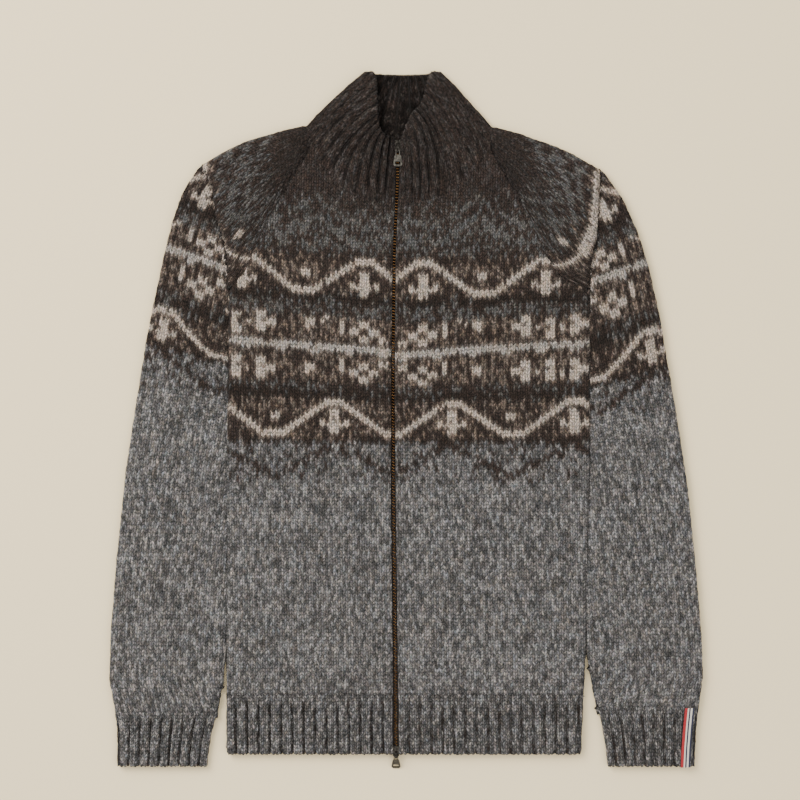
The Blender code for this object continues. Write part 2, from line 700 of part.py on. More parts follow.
def pull(name, x, y, tilt_deg):
    """A plate with an eye round the slider's bridge and a hole at its end, turned at its pivot."""
    outline = bpy.data.curves.new(name + "_outline", "CURVE")
    outline.dimensions = "2D"
    outline.fill_mode = "BOTH"
    outline.extrude = PULL_THICK / 2 * MM
    for corners in (PULL_OUTLINE, PULL_EYE, PULL_HOLE):
        points = rounded(corners)
        path = outline.splines.new("POLY")
        path.points.add(len(points) - 1)
        for target, (px, py) in zip(path.points, points):
            target.co = (px * MM, py * MM, 0.0, 1.0)
        path.use_cyclic_u = True
    guide = bpy.data.objects.new(name + "_outline", outline)
    bpy.context.scene.collection.objects.link(guide)
    evaluated = guide.evaluated_get(bpy.context.evaluated_depsgraph_get())
    plate = bpy.data.meshes.new_from_object(evaluated)
    bpy.data.objects.remove(guide)
    shape = bmesh.new()
    shape.from_mesh(plate)
    bmesh.ops.remove_doubles(shape, verts=shape.verts, dist=0.00001)
    shape.to_mesh(plate)
    shape.free()
    made = add_object(name, plate, "dark_nickel")
    made.location = (x * MM, y * MM, PIVOT_Z * MM)
    made.rotation_euler = (math.radians(tilt_deg), 0.0, 0.0)
    return made


TOP_SLIDER_END = 302.9
BOTTOM_SLIDER_END = -381.9
TAPE_SPAN = (-375.0, 318.0)
TAPE_NEAR = 1.6  # from the zip line
CHAIN_SPAN = (BOTTOM_SLIDER_END + SLIDER_LENGTH + SEAM, TOP_SLIDER_END + 2.0)


def zip_fastener():
    for side, name in ((1, "tape_left"), (-1, "tape_right")):
        ribbon(name, "zip_tape", side, TAPE_NEAR, TAPE_WIDTH, TAPE_Z, TAPE_THICK, *TAPE_SPAN)
    half_width = CHAIN_WIDTH / 2
    ribbon("zip_chain", "brass_teeth", 1, -half_width, half_width, CHAIN_Z, CHAIN_THICK, *CHAIN_SPAN)
    for name, end, droop in (("top", TOP_SLIDER_END, 0.0), ("bottom", BOTTOM_SLIDER_END, PULL_DROOP_DEG)):
        x = x_at(ZIP_LINE, end)
        slider(f"slider_{name}", x, end)
        pull(f"pull_{name}", x, end + PIVOT_FROM_END, droop)


def main():
    for old in list(bpy.data.objects):
        bpy.data.objects.remove(old)
    for name in ("zip_cardigan", "helpers"):
        bpy.context.scene.collection.children.link(bpy.data.collections.new(name))
    front("front_left", 1, SIDE_LEFT, RAGLAN_LEFT, COLLAR_SEAM_LEFT)
    front("front_right", -1, SIDE_RIGHT, RAGLAN_RIGHT, COLLAR_SEAM_RIGHT)
    back()
    hem_front("hem_left", 1, SIDE_LEFT)
    hem_front("hem_right", -1, SIDE_RIGHT)
    hem_back()
    sleeve("sleeve_left", 1, SLEEVE_LEFT, RAGLAN_LEFT)
    sleeve("sleeve_right", -1, SLEEVE_RIGHT, RAGLAN_RIGHT)
    cuff("cuff_left", CUFF_LEFT)
    cuff("cuff_right", CUFF_RIGHT)
    cuff_tab()
    collar()
    zip_fastener()


main()
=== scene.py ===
# %% [markdown]
# # A zip-up knitted cardigan, laid flat
# The garment lies on its back on a table. Its cloth is knitted: rows of V-shaped stitches, one above
# the other, so every panel here is a grid whose cells are the legs of those stitches. A knitter reads
# a pattern from a chart, one square for one stitch, and the script does the same.
#
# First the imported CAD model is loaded. It carries the sizes, and each piece below is laid where the
# CAD node that it stands for lies. Sizes are written in millimetres.

# %% Load the frame
import math

import bmesh
import bpy
import numpy as np
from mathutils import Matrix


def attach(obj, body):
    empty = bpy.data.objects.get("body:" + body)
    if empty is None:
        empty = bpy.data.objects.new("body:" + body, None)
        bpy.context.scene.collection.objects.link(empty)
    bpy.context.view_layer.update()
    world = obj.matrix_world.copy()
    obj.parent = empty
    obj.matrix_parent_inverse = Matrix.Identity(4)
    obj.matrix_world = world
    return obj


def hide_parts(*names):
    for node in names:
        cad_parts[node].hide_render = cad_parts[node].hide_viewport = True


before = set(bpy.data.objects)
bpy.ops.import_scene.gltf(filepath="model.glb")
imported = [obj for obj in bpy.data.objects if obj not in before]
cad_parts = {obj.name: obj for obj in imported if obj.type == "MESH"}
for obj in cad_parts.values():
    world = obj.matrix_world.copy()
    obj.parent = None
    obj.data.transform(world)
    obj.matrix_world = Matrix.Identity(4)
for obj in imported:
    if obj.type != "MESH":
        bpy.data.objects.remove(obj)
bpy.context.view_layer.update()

MM = 0.001
print("nodes in the frame:", len(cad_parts))

# %% [markdown]
# ## The lines of the cut
# A maker draws the outline of each panel before knitting it. These are the same lines: the zip, the
# side edges, the raglan seams that run from the underarm to the neck, the neckline, the shoulder and
# the fold where the sleeve is tucked behind the body. Left is the wearer's, which is +X. Each line is
# a short list of (x, y) corners from the hem towards the collar.

# %% Lines of the cut
ZIP_LINE = [(-11.6, -378), (-12.6, -250), (-14.6, -80), (-15, 45), (-13.6, 190), (-9.9, 270), (-9.3, 330)]
SIDE = {1: [(198, -378), (200, -310), (202.5, -264), (205, -158), (208, -56), (208, 148)],
        -1: [(-203, -378), (-203, -90), (-202, 23), (-201, 148)]}
RAGLAN = {1: [(208, 148), (174, 163), (157, 187), (138, 230), (116, 268), (95, 306)],
          -1: [(-201, 148), (-182, 168), (-173, 190), (-154, 230), (-132, 268), (-109, 306)]}
NECKLINE = {1: [(-8, 249), (27, 252), (52, 265), (76, 288), (90, 307), (96, 318)],
            -1: [(-14.6, 249), (-46, 252), (-70, 265), (-92, 288), (-104, 307), (-111, 318)]}
SHOULDER = {1: [(86, 332), (101, 331.5), (126, 325), (171, 309.5), (196, 297), (219, 284)],
            -1: [(-101, 333), (-116, 333), (-139, 328), (-184, 315), (-210, 302), (-231, 289)]}
FOLD = {1: [(207.6, 140), (208, 170), (209.9, 188), (215.5, 204), (217.8, 250), (219, 284)],
        -1: [(-201, 140), (-203, 186), (-207, 208), (-215, 228), (-219, 262), (-231, 289)]}
SLEEVE_OUTER = {
    1: [(326, -392), (331, -323), (336, -292), (334.5, -245), (327.5, -162), (318.5, -75), (309, -12),
        (298.5, 50), (288, 112), (275, 172), (262, 213), (245, 251), (226.5, 277), (219, 284)],
    -1: [(-327, -392), (-330, -329), (-336, -292), (-334.5, -240), (-328, -158), (-317.5, -56), (-305, 25),
         (-295, 86), (-284.5, 140), (-273.5, 190), (-264.5, 226), (-253, 258), (-236.5, 284), (-231, 289)]}
SLEEVE_INNER = {
    1: [(215.5, -324), (208, -287), (202, -250), (204, -158), (207, -56), (207, 30), (207.6, 140)],
    -1: [(-213.5, -330), (-207.5, -297), (-202, -240), (-202, -158), (-202, -60), (-201, 30), (-200.5, 140)]}
HEM_TOP_Y, HEM_END_Y, UNDERARM_Y, BACK_NECK_Y = -310.0, -378.0, 148.0, 306.0


def x_at(line, y):
    """x where a line of the cut crosses y."""
    corners = np.array(sorted(line, key=lambda p: p[1]), float)
    return np.interp(y, corners[:, 1], corners[:, 0])


def y_at(line, x):
    """y where a line of the cut crosses x."""
    corners = np.array(sorted(line), float)
    return np.interp(x, corners[:, 0], corners[:, 1])


def along(line, share):
    """The point at a share of a line's length, as arrays x and y."""
    corners = np.array(line, float)
    lengths = np.concatenate([[0], np.cumsum(np.linalg.norm(np.diff(corners, axis=0), axis=1))])
    place = np.asarray(share) * lengths[-1]
    return np.interp(place, lengths, corners[:, 0]), np.interp(place, lengths, corners[:, 1])


def mix(a, b, share):
    return a + (b - a) * share


def ramp(value, start, end):
    """0 before start, 1 after end, and a smooth slope between them."""
    t = np.clip((value - start) / (end - start), 0, 1)
    return t * t * (3 - 2 * t)


def rolled(distance, radius, low, high):
    """Height of cloth beside an edge that rolls over: low at the edge, high a radius inside it."""
    t = np.clip(1 - distance / radius, 0, 1)
    return low + (high - low) * np.sqrt(1 - t * t)


print("body width at the chest:", x_at(SIDE[1], 100) - x_at(SIDE[-1], 100), "mm")

# %% [markdown]
# ## The knitting chart
# The yoke of such a cardigan has bands of motifs that knitters have used for generations: a wave with
# a small cross under each crest, rings of four dots, and upright bars that are linked by a line. The
# chart counts stitches outwards from the zip, so that both fronts mirror each other, and counts rows
# downwards from the pale line in the middle of the yoke. Small motifs are charted as rows of marks,
# and the waves and zigzags follow a rule.

# %% The small motifs
GROUND, CREAM, PALE, BLUE, DARK = range(5)
FIRST_ROW, LAST_ROW, CHART_STITCHES = -70, 130, 64
MOTIFS = {
    "cross": ("..##..", "..##..", "..##..", "#.##.#", "######", "..##..", "..##.."),
    "ring": ("..##..", "..##..", "##..##", "##..##", "..##..", "..##.."),
    "dot": ("##", "##", ".#"),
    "blob": ("##", "##"),
    "fleck": ("#",),
    "tick": ("#", "#", "#", "#"),
    "post": ("##", "##", ".#", "##", "##", "##"),
    "arm": ("##............##", "##...#....#...##", "..........#....."),
}
FRONT_MOTIFS = (  # motif, first stitch from the zip, first row
    ("cross", 4, -22), ("cross", 29, -22), ("cross", 52, -22), ("blob", 18, -22), ("blob", 43, -22),
    ("ring", 4, -8), ("ring", 4, 4), ("blob", 2, -4), ("blob", 2, -1), ("blob", 2, 3), ("dot", 17, -8),
    ("dot", 17, 5), ("tick", 11, -8), ("tick", 11, 3), ("fleck", 14, -9), ("fleck", 15, -8), ("post", 27, -9),
    ("post", 32, -8), ("post", 37, -9), ("arm", 25, -7), ("post", 27, 4), ("post", 32, 4),
    ("post", 37, 4), ("arm", 25, 6), ("cross", 10, 18), ("cross", 35, 18), ("blob", 24, 19),
    ("blob", 48, 19), ("ring", 53, -8), ("ring", 53, 4), ("tick", 47, -8), ("tick", 47, 3),
    ("fleck", 0, -12), ("fleck", 0, -8), ("fleck", 0, 4), ("fleck", 0, 7), ("fleck", 0, 10),
)
WAVE_PERIOD, WAVE_FLAT, ZIGZAG_PERIOD = 25, 1.9, 20


def stamp(chart, motif, stitch, row):
    """Copies a motif's marks into the chart as cream stitches."""
    for i, line in enumerate(MOTIFS[motif]):
        for j, mark in enumerate(line):
            if mark == "#" and stitch + j < CHART_STITCHES:
                chart[row + i - FIRST_ROW, stitch + j] = CREAM


def wave_row(stitch, crest_stitch, crest, trough):
    """Row of a wave at a stitch: flat crests and troughs, joined by slopes."""
    from_crest = (stitch - crest_stitch) % WAVE_PERIOD
    from_crest = min(from_crest, WAVE_PERIOD - from_crest)
    slope = (from_crest - WAVE_FLAT) / (WAVE_PERIOD / 2 - 2 * WAVE_FLAT)
    return mix(crest, trough, min(max(slope, 0.0), 1.0))


def zigzag_row(stitch, peak_stitch, period, peak, trough):
    from_peak = (stitch - peak_stitch) % period
    return mix(peak, trough, min(from_peak, period - from_peak) / (period / 2))


def draw_chart(first_wave_crest, motifs):
    """One number for each stitch: which yarn it takes."""
    chart = np.zeros((LAST_ROW - FIRST_ROW + 1, CHART_STITCHES), int)
    for stitch in range(CHART_STITCHES):
        upper = zigzag_row(stitch, 17, ZIGZAG_PERIOD, -38, -29)
        lower = zigzag_row(stitch, 12, WAVE_PERIOD, 28, 37)
        for row in range(FIRST_ROW, LAST_ROW):
            if abs(row + 0.5 - upper) < 1.3 or abs(row + 6.5 - upper) < 0.8:
                chart[row - FIRST_ROW, stitch] = BLUE
            if abs(row + 0.5 - lower) < 1.1:
                chart[row - FIRST_ROW, stitch] = DARK
        for crest_stitch, crest, trough in ((first_wave_crest, -24.8, -16.2), (12, 16.0, 25.0)):
            middle = wave_row(stitch - 0.5, crest_stitch, crest, trough)
            for row in range(int(middle) - 3, int(middle) + 4):
                if abs(row + 0.5 - middle) < 1.0:
                    chart[row - FIRST_ROW, stitch] = CREAM
        chart[-1 - FIRST_ROW:(2 if stitch % 7 in (2, 3) else 1) - FIRST_ROW, stitch] = PALE
    for motif, stitch, row in motifs:
        stamp(chart, motif, stitch, row)
    return chart


FRONT_CHART = draw_chart(6, FRONT_MOTIFS)
print("chart:", FRONT_CHART.shape, "cream stitches:", int((FRONT_CHART == CREAM).sum()))

# %% [markdown]
# ## Yarns
# The wool is not one colour. Dark brown, blue-grey and natural grey fibres are spun together, so each
# leg of a stitch catches a slightly different mixture: knitters call it marl. The script draws a
# colour for each leg from a few yarns, with a fixed seed, and a table says which yarns lie in which
# rows. That gives the speckle its true scale, because a speck is as large as a stitch leg.

# %% Yarn colours
YARNS = {  # name: colour as seen in soft daylight (0 to 255), spread of its brightness
    "brown": ((58, 49, 44), 0.16),
    "deep brown": ((49, 41, 36), 0.14),
    "collar brown": ((49, 41, 37), 0.24),
    "collar grey": ((67, 62, 59), 0.22),
    # painted shade, not a yarn: the darkest colour, laid in the collar's rib valleys and on its inside
    "collar painted shade": ((24, 19, 16), 0.20),
    "blue grey": ((96, 95, 93), 0.14),
    "tan grey": ((116, 104, 94), 0.14),
    "cream": ((196, 182, 168), 0.07),
    "pale": ((178, 170, 161), 0.12),
    "marl dark": ((82, 81, 80), 0.16),
    "marl mid": ((115, 113, 112), 0.14),
    "marl light": ((154, 152, 150), 0.10),
}
ROW_YARNS = (  # first row, yarn and its share for each of the yarns that are mixed there
    (-70, (("brown", 0.7), ("collar grey", 0.3))),
    (-44, (("brown", 0.62), ("collar grey", 0.2), ("blue grey", 0.18))),
    (-38, (("brown", 0.62), ("blue grey", 0.38))),
    (-27, (("brown", 0.80), ("tan grey", 0.20))),
    (-16, (("deep brown", 0.9), ("blue grey", 0.1))),
    (-13, (("brown", 0.52), ("blue grey", 0.48))),
    (-9, (("brown", 0.72), ("tan grey", 0.28))),
    (10, (("brown", 0.7), ("blue grey", 0.3))),
    (12, (("deep brown", 0.88), ("blue grey", 0.12))),
    (15, (("brown", 0.76), ("tan grey", 0.24))),
    (26, (("deep brown", 0.95), ("brown", 0.05))),
    (27, (("marl mid", 0.46), ("marl dark", 0.3), ("marl light", 0.1), ("brown", 0.14))),
    (38, (("marl mid", 0.42), ("marl dark", 0.32), ("marl light", 0.26))),
)
PINSTRIPES = ((-9, -2), (2, 10), (15, 19), (-24, -21))  # rows where every second stitch is paler
ALBEDO = 0.62  # how much of the seen colour is the cloth's own


def linear(colour):
    """A colour of 0 to 255 as the linear values that a shader needs."""
    value = np.asarray(colour, float) / 255
    return np.where(value <= 0.04045, value / 12.92, ((value + 0.055) / 1.055) ** 2.4)


YARN_NAMES = list(YARNS)
YARN_LINEAR = np.array([linear(YARNS[name][0]) for name in YARN_NAMES]) * ALBEDO
YARN_SPREAD = np.array([YARNS[name][1] for name in YARN_NAMES])


def dye(kinds, chance):
    """A colour for each leg: its yarn's own, lighter or darker and warmer or cooler by chance."""
    spread = YARN_SPREAD[kinds]
    brightness = np.exp(chance.normal(size=kinds.shape) * spread)
    warmth = chance.normal(size=kinds.shape) * 0.035
    colour = YARN_LINEAR[kinds] * brightness[..., None]
    return colour * np.stack([1 + warmth, np.ones_like(warmth), 1 - warmth], axis=-1)


def pick(mixture, shape, chance):
    names, shares = zip(*mixture)
    numbers = np.array([YARN_NAMES.index(name) for name in names])
    return numbers[np.searchsorted(np.cumsum(shares)[:-1], chance.random(shape))]


def charted(stitches, rows, chance, chart=FRONT_CHART):
    """Yarn numbers for legs, from the chart and from the yarns that are mixed in each row."""
    kinds = np.zeros(stitches.shape, int)
    blurred = rows + chance.normal(size=rows.shape) * np.where(rows < -26, 1.6, 0.25)
    for number, (first, mixture) in enumerate(ROW_YARNS):
        last = ROW_YARNS[number + 1][0] if number + 1 < len(ROW_YARNS) else 1e9
        here = (blurred >= first) & (blurred < last)
        kinds[here] = pick(mixture, int(here.sum()), chance)
    for first, last in PINSTRIPES:
        here = (rows >= first) & (rows < last) & (stitches % 2 == 1) & (chance.random(rows.shape) < 0.42)
        kinds[here] = YARN_NAMES.index("tan grey")
    codes = chart[np.clip(rows - FIRST_ROW, 0, len(chart) - 1), np.clip(stitches, 0, CHART_STITCHES - 1)]
    for code, name, share in ((CREAM, "cream", 0.96), (PALE, "pale", 0.9), (BLUE, "blue grey", 0.6),
                              (DARK, "brown", 0.72)):
        here = (codes == code) & (chance.random(rows.shape) < share)
        kinds[here] = YARN_NAMES.index(name)
    return kinds


print("yarns:", len(YARN_NAMES), "row zones:", len(ROW_YARNS))

# %% [markdown]
# ## Knitting a panel
# A stitch is two legs that lean together. The grid has four columns of points to a stitch: the two
# grooves, and the crest of each leg between them. Every row of points is shifted up and down so that
# the legs form a V. The panel is a closed wall: the outer skin carries the relief, the inner skin is
# plain, and the rim joins them wherever the panel ends. The same function knits every piece, because
# it only needs to know where each point of the grid lies.

# %% Knit a closed wall from a grid
STITCH_WIDTH, ROW_HEIGHT = 5.54, 3.96
V_DEPTH = 0.75  # rows between the top and the bottom of a V
LEG_RELIEF = 0.75
WALL = 3.0
SOFTNESS = 0.42  # how far the fibres of neighbouring legs blend
LOOSENESS = 0.28  # mm by which points stray, because no hand-fed yarn lies quite evenly


def grid_of(first_stitch, stitches, first_row, rows):
    """Stitch and row numbers of every grid point; the rows lean to form the Vs."""
    columns = np.arange(4 * stitches + 1) / 4
    lean = V_DEPTH * (0.5 - np.abs(2 * (columns % 1) - 1))
    stitch = np.broadcast_to(first_stitch + columns, (rows + 1, len(columns)))
    row = first_row + np.arange(rows + 1)[:, None] + lean[None, :]
    return stitch, row


def normals_of(points):
    across = np.gradient(points, axis=1)
    down = np.gradient(points, axis=0)
    normal = np.cross(down, across)
    length = np.linalg.norm(normal, axis=2, keepdims=True)
    normal = np.where(length > 1e-9, normal / np.maximum(length, 1e-9), np.array([0.0, 0.0, 1.0]))
    return normal


def knit(name, outer, inner, keep, kinds, chance, finish):
    """A closed knitted wall. outer has 4 columns a stitch, inner 2; keep and kinds have one value a leg."""
    rows, legs = keep.shape
    outer_number = np.arange(outer.shape[0] * outer.shape[1]).reshape(outer.shape[:2])
    inner_number = np.arange(inner.shape[0] * inner.shape[1]).reshape(inner.shape[:2]) + outer_number.size
    i, leg = np.nonzero(keep)
    a, b, c = 2 * leg, 2 * leg + 1, 2 * leg + 2
    on = outer_number
    left_half = np.stack([on[i, a], on[i + 1, a], on[i + 1, b], on[i, b]], axis=1)
    right_half = np.stack([on[i, b], on[i + 1, b], on[i + 1, c], on[i, c]], axis=1)
    inn = inner_number
    plain = np.stack([inn[i, leg], inn[i, leg + 1], inn[i + 1, leg + 1], inn[i + 1, leg]], axis=1)
    faces = np.concatenate([left_half, right_half, plain]).tolist()
    owners = [np.concatenate([np.arange(len(i))] * 3)]
    padded = np.pad(keep, 1)
    number_of = -np.ones(keep.shape, int)
    number_of[i, leg] = np.arange(len(i))
    rims = (
        (padded[:-2, 1:-1], lambda p, q: [on[p, 2 * q], on[p, 2 * q + 1], on[p, 2 * q + 2], inn[p, q + 1],
                                          inn[p, q]]),
        (padded[2:, 1:-1], lambda p, q: [on[p + 1, 2 * q + 2], on[p + 1, 2 * q + 1], on[p + 1, 2 * q],
                                         inn[p + 1, q], inn[p + 1, q + 1]]),
        (padded[1:-1, :-2], lambda p, q: [on[p + 1, 2 * q], on[p, 2 * q], inn[p, q], inn[p + 1, q]]),
        (padded[1:-1, 2:], lambda p, q: [on[p, 2 * q + 2], on[p + 1, 2 * q + 2], inn[p + 1, q + 1],
                                         inn[p, q + 1]]),
    )
    for neighbour, corners in rims:
        p, q = np.nonzero(keep & ~neighbour)
        faces += [[int(v) for v in corners(x, y)] for x, y in zip(p, q)]
        owners.append(number_of[p, q])
    owner = np.concatenate(owners)
    points = np.concatenate([outer.reshape(-1, 3), inner.reshape(-1, 3)]) * MM
    used = np.zeros(len(points), bool)
    flat = np.concatenate([np.array(f) for f in faces])
    used[flat] = True
    renumber = np.cumsum(used) - 1
    mesh = bpy.data.meshes.new(name)
    mesh.from_pydata(points[used].tolist(), [], [[int(renumber[v]) for v in f] for f in faces])
    sides = np.array([len(f) for f in faces])
    own = np.repeat(dye(kinds[i, leg], chance)[owner], sides, axis=0)
    shade = mesh.attributes.new("yarn", "FLOAT_COLOR", "CORNER")
    colour = np.c_[mix(own, shared_colour(own, flat, len(points)), SOFTNESS), np.ones(len(own))]
    shade.data.foreach_set("color", colour.astype(np.float32).ravel())
    set_stitch_map(mesh, flat, outer.shape, inner.shape)
    return face_outwards(name, mesh, finish)


def face_outwards(name, mesh, finish):
    """Makes an object of a closed mesh, with its faces turned outwards."""
    shape = bmesh.new()
    shape.from_mesh(mesh)
    if shape.calc_volume(signed=True) < 0:
        mesh.flip_normals()
    shape.free()
    mesh.shade_smooth()
    mesh.materials.append(finish)
    made = bpy.data.objects.new(name, mesh)
    bpy.context.scene.collection.objects.link(made)
    return made


def shared_colour(own, flat, count):
    """The mean colour of the legs that meet at each corner's point."""
    total = np.stack([np.bincount(flat, own[:, k], count) for k in range(3)], axis=1)
    return (total / np.maximum(np.bincount(flat, minlength=count), 1)[:, None])[flat]


def set_stitch_map(mesh, flat, outer_shape, inner_shape):
    """A UV map in stitch units: one unit across is one leg, one unit up is one row."""
    count = outer_shape[0] * outer_shape[1]
    is_outer = flat < count
    local = np.where(is_outer, flat, flat - count)
    columns = np.where(is_outer, outer_shape[1], inner_shape[1])
    u = (local % columns) / np.where(is_outer, 2, 1)
    v = local // columns
    layer = mesh.uv_layers.new(name="stitches")
    layer.data.foreach_set("uv", np.stack([u, v], axis=1).astype(np.float32).ravel())


def facing(normal, under):
    """Turns normals upwards, or downwards for a panel that lies on the table."""
    turned = np.where(normal[..., 2:] < -0.2, -normal, normal)
    return -turned if under else turned


def raise_legs(points, normal, stitch, strength=1.0):
    """The outer skin: crests between the grooves, with a little unevenness."""
    crest = np.abs(np.sin(2 * math.pi * (stitch - stitch[0, 0])))
    stray = np.random.default_rng(points.shape[1]).normal(size=points.shape) * LOOSENESS * (1, 1, 0.4)
    raised = points + normal * (LEG_RELIEF * strength * crest)[..., None] + stray
    raised[..., 2] = np.maximum(raised[..., 2], 0.05)
    return raised


def legs_inside(over):
    """Keeps a leg unless all of its corners were pushed back to the panel's edge."""
    corners = over[:, ::2]
    return ~(corners[:-1, :-1] & corners[1:, :-1] & corners[:-1, 1:] & corners[1:, 1:])


def leg_numbers(keep, first_row=0):
    """The row and the number across of every leg of a panel."""
    return np.meshgrid(np.arange(keep.shape[0]) + first_row, np.arange(keep.shape[1]), indexing="ij")


def knit_panel(name, place, stitch, keep, kinds, chance, finish, under=False, strength=1.0):
    """A panel of even thickness. place holds x, y and z of the grooves between its stitches."""
    points = np.stack(place, axis=-1)
    normal = facing(normals_of(points), under)
    outer = raise_legs(points, normal, stitch, strength)
    return knit(name, outer, (points - normal * WALL)[:, ::2], keep, kinds, chance, finish)


print("a stitch is", STITCH_WIDTH, "by", ROW_HEIGHT, "mm")

# %% [markdown]
# ## The wool's surface
# Close up, brushed wool is a soft twisted strand with loose fibres over it. The shader reads the
# colour of each leg from the mesh and adds what is smaller than a stitch: the swell of each leg along
# its length, painted shade in the grooves between legs, the diagonal twist of the plies, and a fuzz of
# pale fibres. A little sheen on the Principled shader stands for the fibres that catch the light at
# the edge of a fold.

# %% Shader helpers and the wool
def node(tree, kind, inputs=None, **settings):
    made = tree.nodes.new(kind)
    for key, value in settings.items():
        setattr(made, key, value)
    for key, value in (inputs or {}).items():
        if isinstance(value, bpy.types.NodeSocket):
            tree.links.new(value, made.inputs[key])
        else:
            made.inputs[key].default_value = value
    return made


def maths(tree, operation, a, b=0.0, c=0.0):
    return node(tree, "ShaderNodeMath", {0: a, 1: b, 2: c}, operation=operation).outputs[0]


def new_material(name, roughness, **extra):
    made = bpy.data.materials.new(name)
    made.use_nodes = True
    shader = made.node_tree.nodes["Principled BSDF"]
    shader.inputs["Roughness"].default_value = roughness
    for key, value in extra.items():
        shader.inputs[key.replace("_", " ")].default_value = value
    return made, made.node_tree, shader


def wool_material(name, fuzz, swell, groove_shade, grain):
    """Brushed wool over a mesh that carries a yarn colour. fuzz hides the stitches, swell shows them."""
    made, tree, shader = new_material(name, 0.95, Sheen_Weight=0.05, Sheen_Roughness=0.5,
                                      Specular_IOR_Level=0.12)
    yarn = node(tree, "ShaderNodeAttribute", attribute_name="yarn").outputs["Color"]
    place = node(tree, "ShaderNodeUVMap", uv_map="stitches").outputs[0]
    split = node(tree, "ShaderNodeSeparateXYZ", {0: place})
    across, up = split.outputs[0], split.outputs[1]
    solid = node(tree, "ShaderNodeTexCoord").outputs["Object"]
    along_leg = maths(tree, "SINE", maths(tree, "MULTIPLY", maths(tree, "FRACT", up), math.pi))
    over_leg = maths(tree, "SINE", maths(tree, "MULTIPLY", maths(tree, "FRACT", across), math.pi))
    body = maths(tree, "MULTIPLY", along_leg, over_leg)
    strand = maths(tree, "MULTIPLY_ADD", up, 2.0, maths(tree, "MULTIPLY", across, 1.5))
    twist = maths(tree, "SINE", maths(tree, "MULTIPLY", strand, 2 * math.pi))
    fleece = node(tree, "ShaderNodeTexNoise", {"Vector": solid, "Scale": 520.0, "Detail": 3.0,
                                               "Roughness": 0.65, "Distortion": 0.8})
    fibres = fleece.outputs["Fac"]
    patches = node(tree, "ShaderNodeTexNoise", {"Vector": solid, "Scale": 46.0, "Detail": 2.0}).outputs["Fac"]
    height = maths(tree, "MULTIPLY", body, swell)
    height = maths(tree, "MULTIPLY_ADD", twist, 0.06 * swell, height)
    height = maths(tree, "MULTIPLY_ADD", fibres, fuzz, height)
    bump = node(tree, "ShaderNodeBump", {"Height": height, "Strength": 1.0, "Distance": 0.0011})
    tree.links.new(bump.outputs[0], shader.inputs["Normal"])
    contrast = node(tree, "ShaderNodeMapRange", {"Value": fibres, "From Min": 0.36, "From Max": 0.64,
                                                 "To Min": 0.42, "To Max": grain}).outputs[0]
    # painted shade: the colour grows darker towards the grooves between the legs of each stitch
    valley = node(tree, "ShaderNodeMapRange", {"Value": body, "From Min": 0.0, "From Max": 0.75,
                                               "To Min": groove_shade, "To Max": 1.12}).outputs[0]
    large = node(tree, "ShaderNodeMapRange", {"Value": patches, "From Min": 0.3, "From Max": 0.7,
                                              "To Min": 0.92, "To Max": 1.08}).outputs[0]
    tone = maths(tree, "MULTIPLY", maths(tree, "MULTIPLY", contrast, valley), large)
    tint = node(tree, "ShaderNodeVectorMath", {0: fleece.outputs["Color"], 1: (0.7, 0.35, 0.7),
                                               2: (0.65, 0.825, 0.65)}, operation="MULTIPLY_ADD").outputs[0]
    dyed = node(tree, "ShaderNodeVectorMath", {0: yarn, 1: tint}, operation="MULTIPLY").outputs[0]
    shaded = node(tree, "ShaderNodeVectorMath", {0: dyed, "Scale": tone}, operation="SCALE").outputs[0]
    loose = node(tree, "ShaderNodeTexNoise", {"Vector": solid, "Scale": 1500.0, "Detail": 2.0,
                                              "Distortion": 2.5}).outputs["Fac"]
    stray = node(tree, "ShaderNodeMapRange", {"Value": loose, "From Min": 0.60, "From Max": 0.74,
                                              "To Min": 0.0, "To Max": 0.22}).outputs[0]
    lighter = node(tree, "ShaderNodeVectorMath", {0: shaded, 1: (0.08, 0.075, 0.07)},
                   operation="ADD").outputs[0]
    colour = node(tree, "ShaderNodeMix", {0: stray, 6: shaded, 7: lighter}, data_type="RGBA").outputs[2]
    tree.links.new(colour, shader.inputs["Base Color"])
    return made


WOOL = wool_material("brushed_wool", fuzz=0.6, swell=0.7, groove_shade=0.5, grain=1.75)
RIB_WOOL = wool_material("ribbed_wool", fuzz=0.5, swell=0.9, groove_shade=0.36, grain=1.85)
COLLAR_WOOL = wool_material("felted_collar_wool", fuzz=0.9, swell=0.5, groove_shade=0.55, grain=1.9)
print("materials:", WOOL.name, RIB_WOOL.name, COLLAR_WOOL.name)

# %% [markdown]
# ## The fronts
# The rows of a yoke sag towards the zip, as they do when a round yoke is laid flat. A small table
# gives the height of five chosen rows at the zip, half-way and at the side, and the rows between are
# interpolated. Each front is cut off along the raglan, the neckline and the side, where the cloth
# rolls over into the back. Slow, uneven swells keep the cloth from looking ironed.

# %% Rows of the fronts
ROW_TABLE = (-62.0, -24.5, 0.0, 24.5, 98.6)
ROW_HEIGHTS = {  # y in mm at the zip, half-way and at the side, for each row of the table
    1: ((318, 320, 324), (175, 177, 180.5), (72.2, 81.2, 87), (-13.7, -13.1, -12.5), (-311, -311, -311)),
    -1: ((318, 320, 324), (175, 182.5, 193.5), (77, 85.8, 95.8), (-13.7, -12, -10.9), (-311, -311, -311)),
}
HALF_WIDTH = 222.0
FRONT_GRID = (0, 42, -62, 161)  # first stitch, stitches, first row, rows
SEAM_ALLOWANCE = 2.5  # how far the panel runs on under the hem's ribs


def row_y(side, row, x):
    """Height of a row of the front at x: a parabola through the table's three heights."""
    d = np.clip(np.abs(x - x_at(ZIP_LINE, 100)) / HALF_WIDTH, 0, 1.1)
    table = np.array(ROW_HEIGHTS[side], float)
    at_zip, middle, at_side = (np.interp(row, ROW_TABLE, table[:, k]) for k in range(3))
    beyond = np.where(row > ROW_TABLE[-1], ROW_TABLE[-1] - row, 0) * ROW_HEIGHT
    slope, bend = 4 * middle - 3 * at_zip - at_side, 2 * (at_zip - 2 * middle + at_side)
    return at_zip + slope * d + bend * d * d + beyond


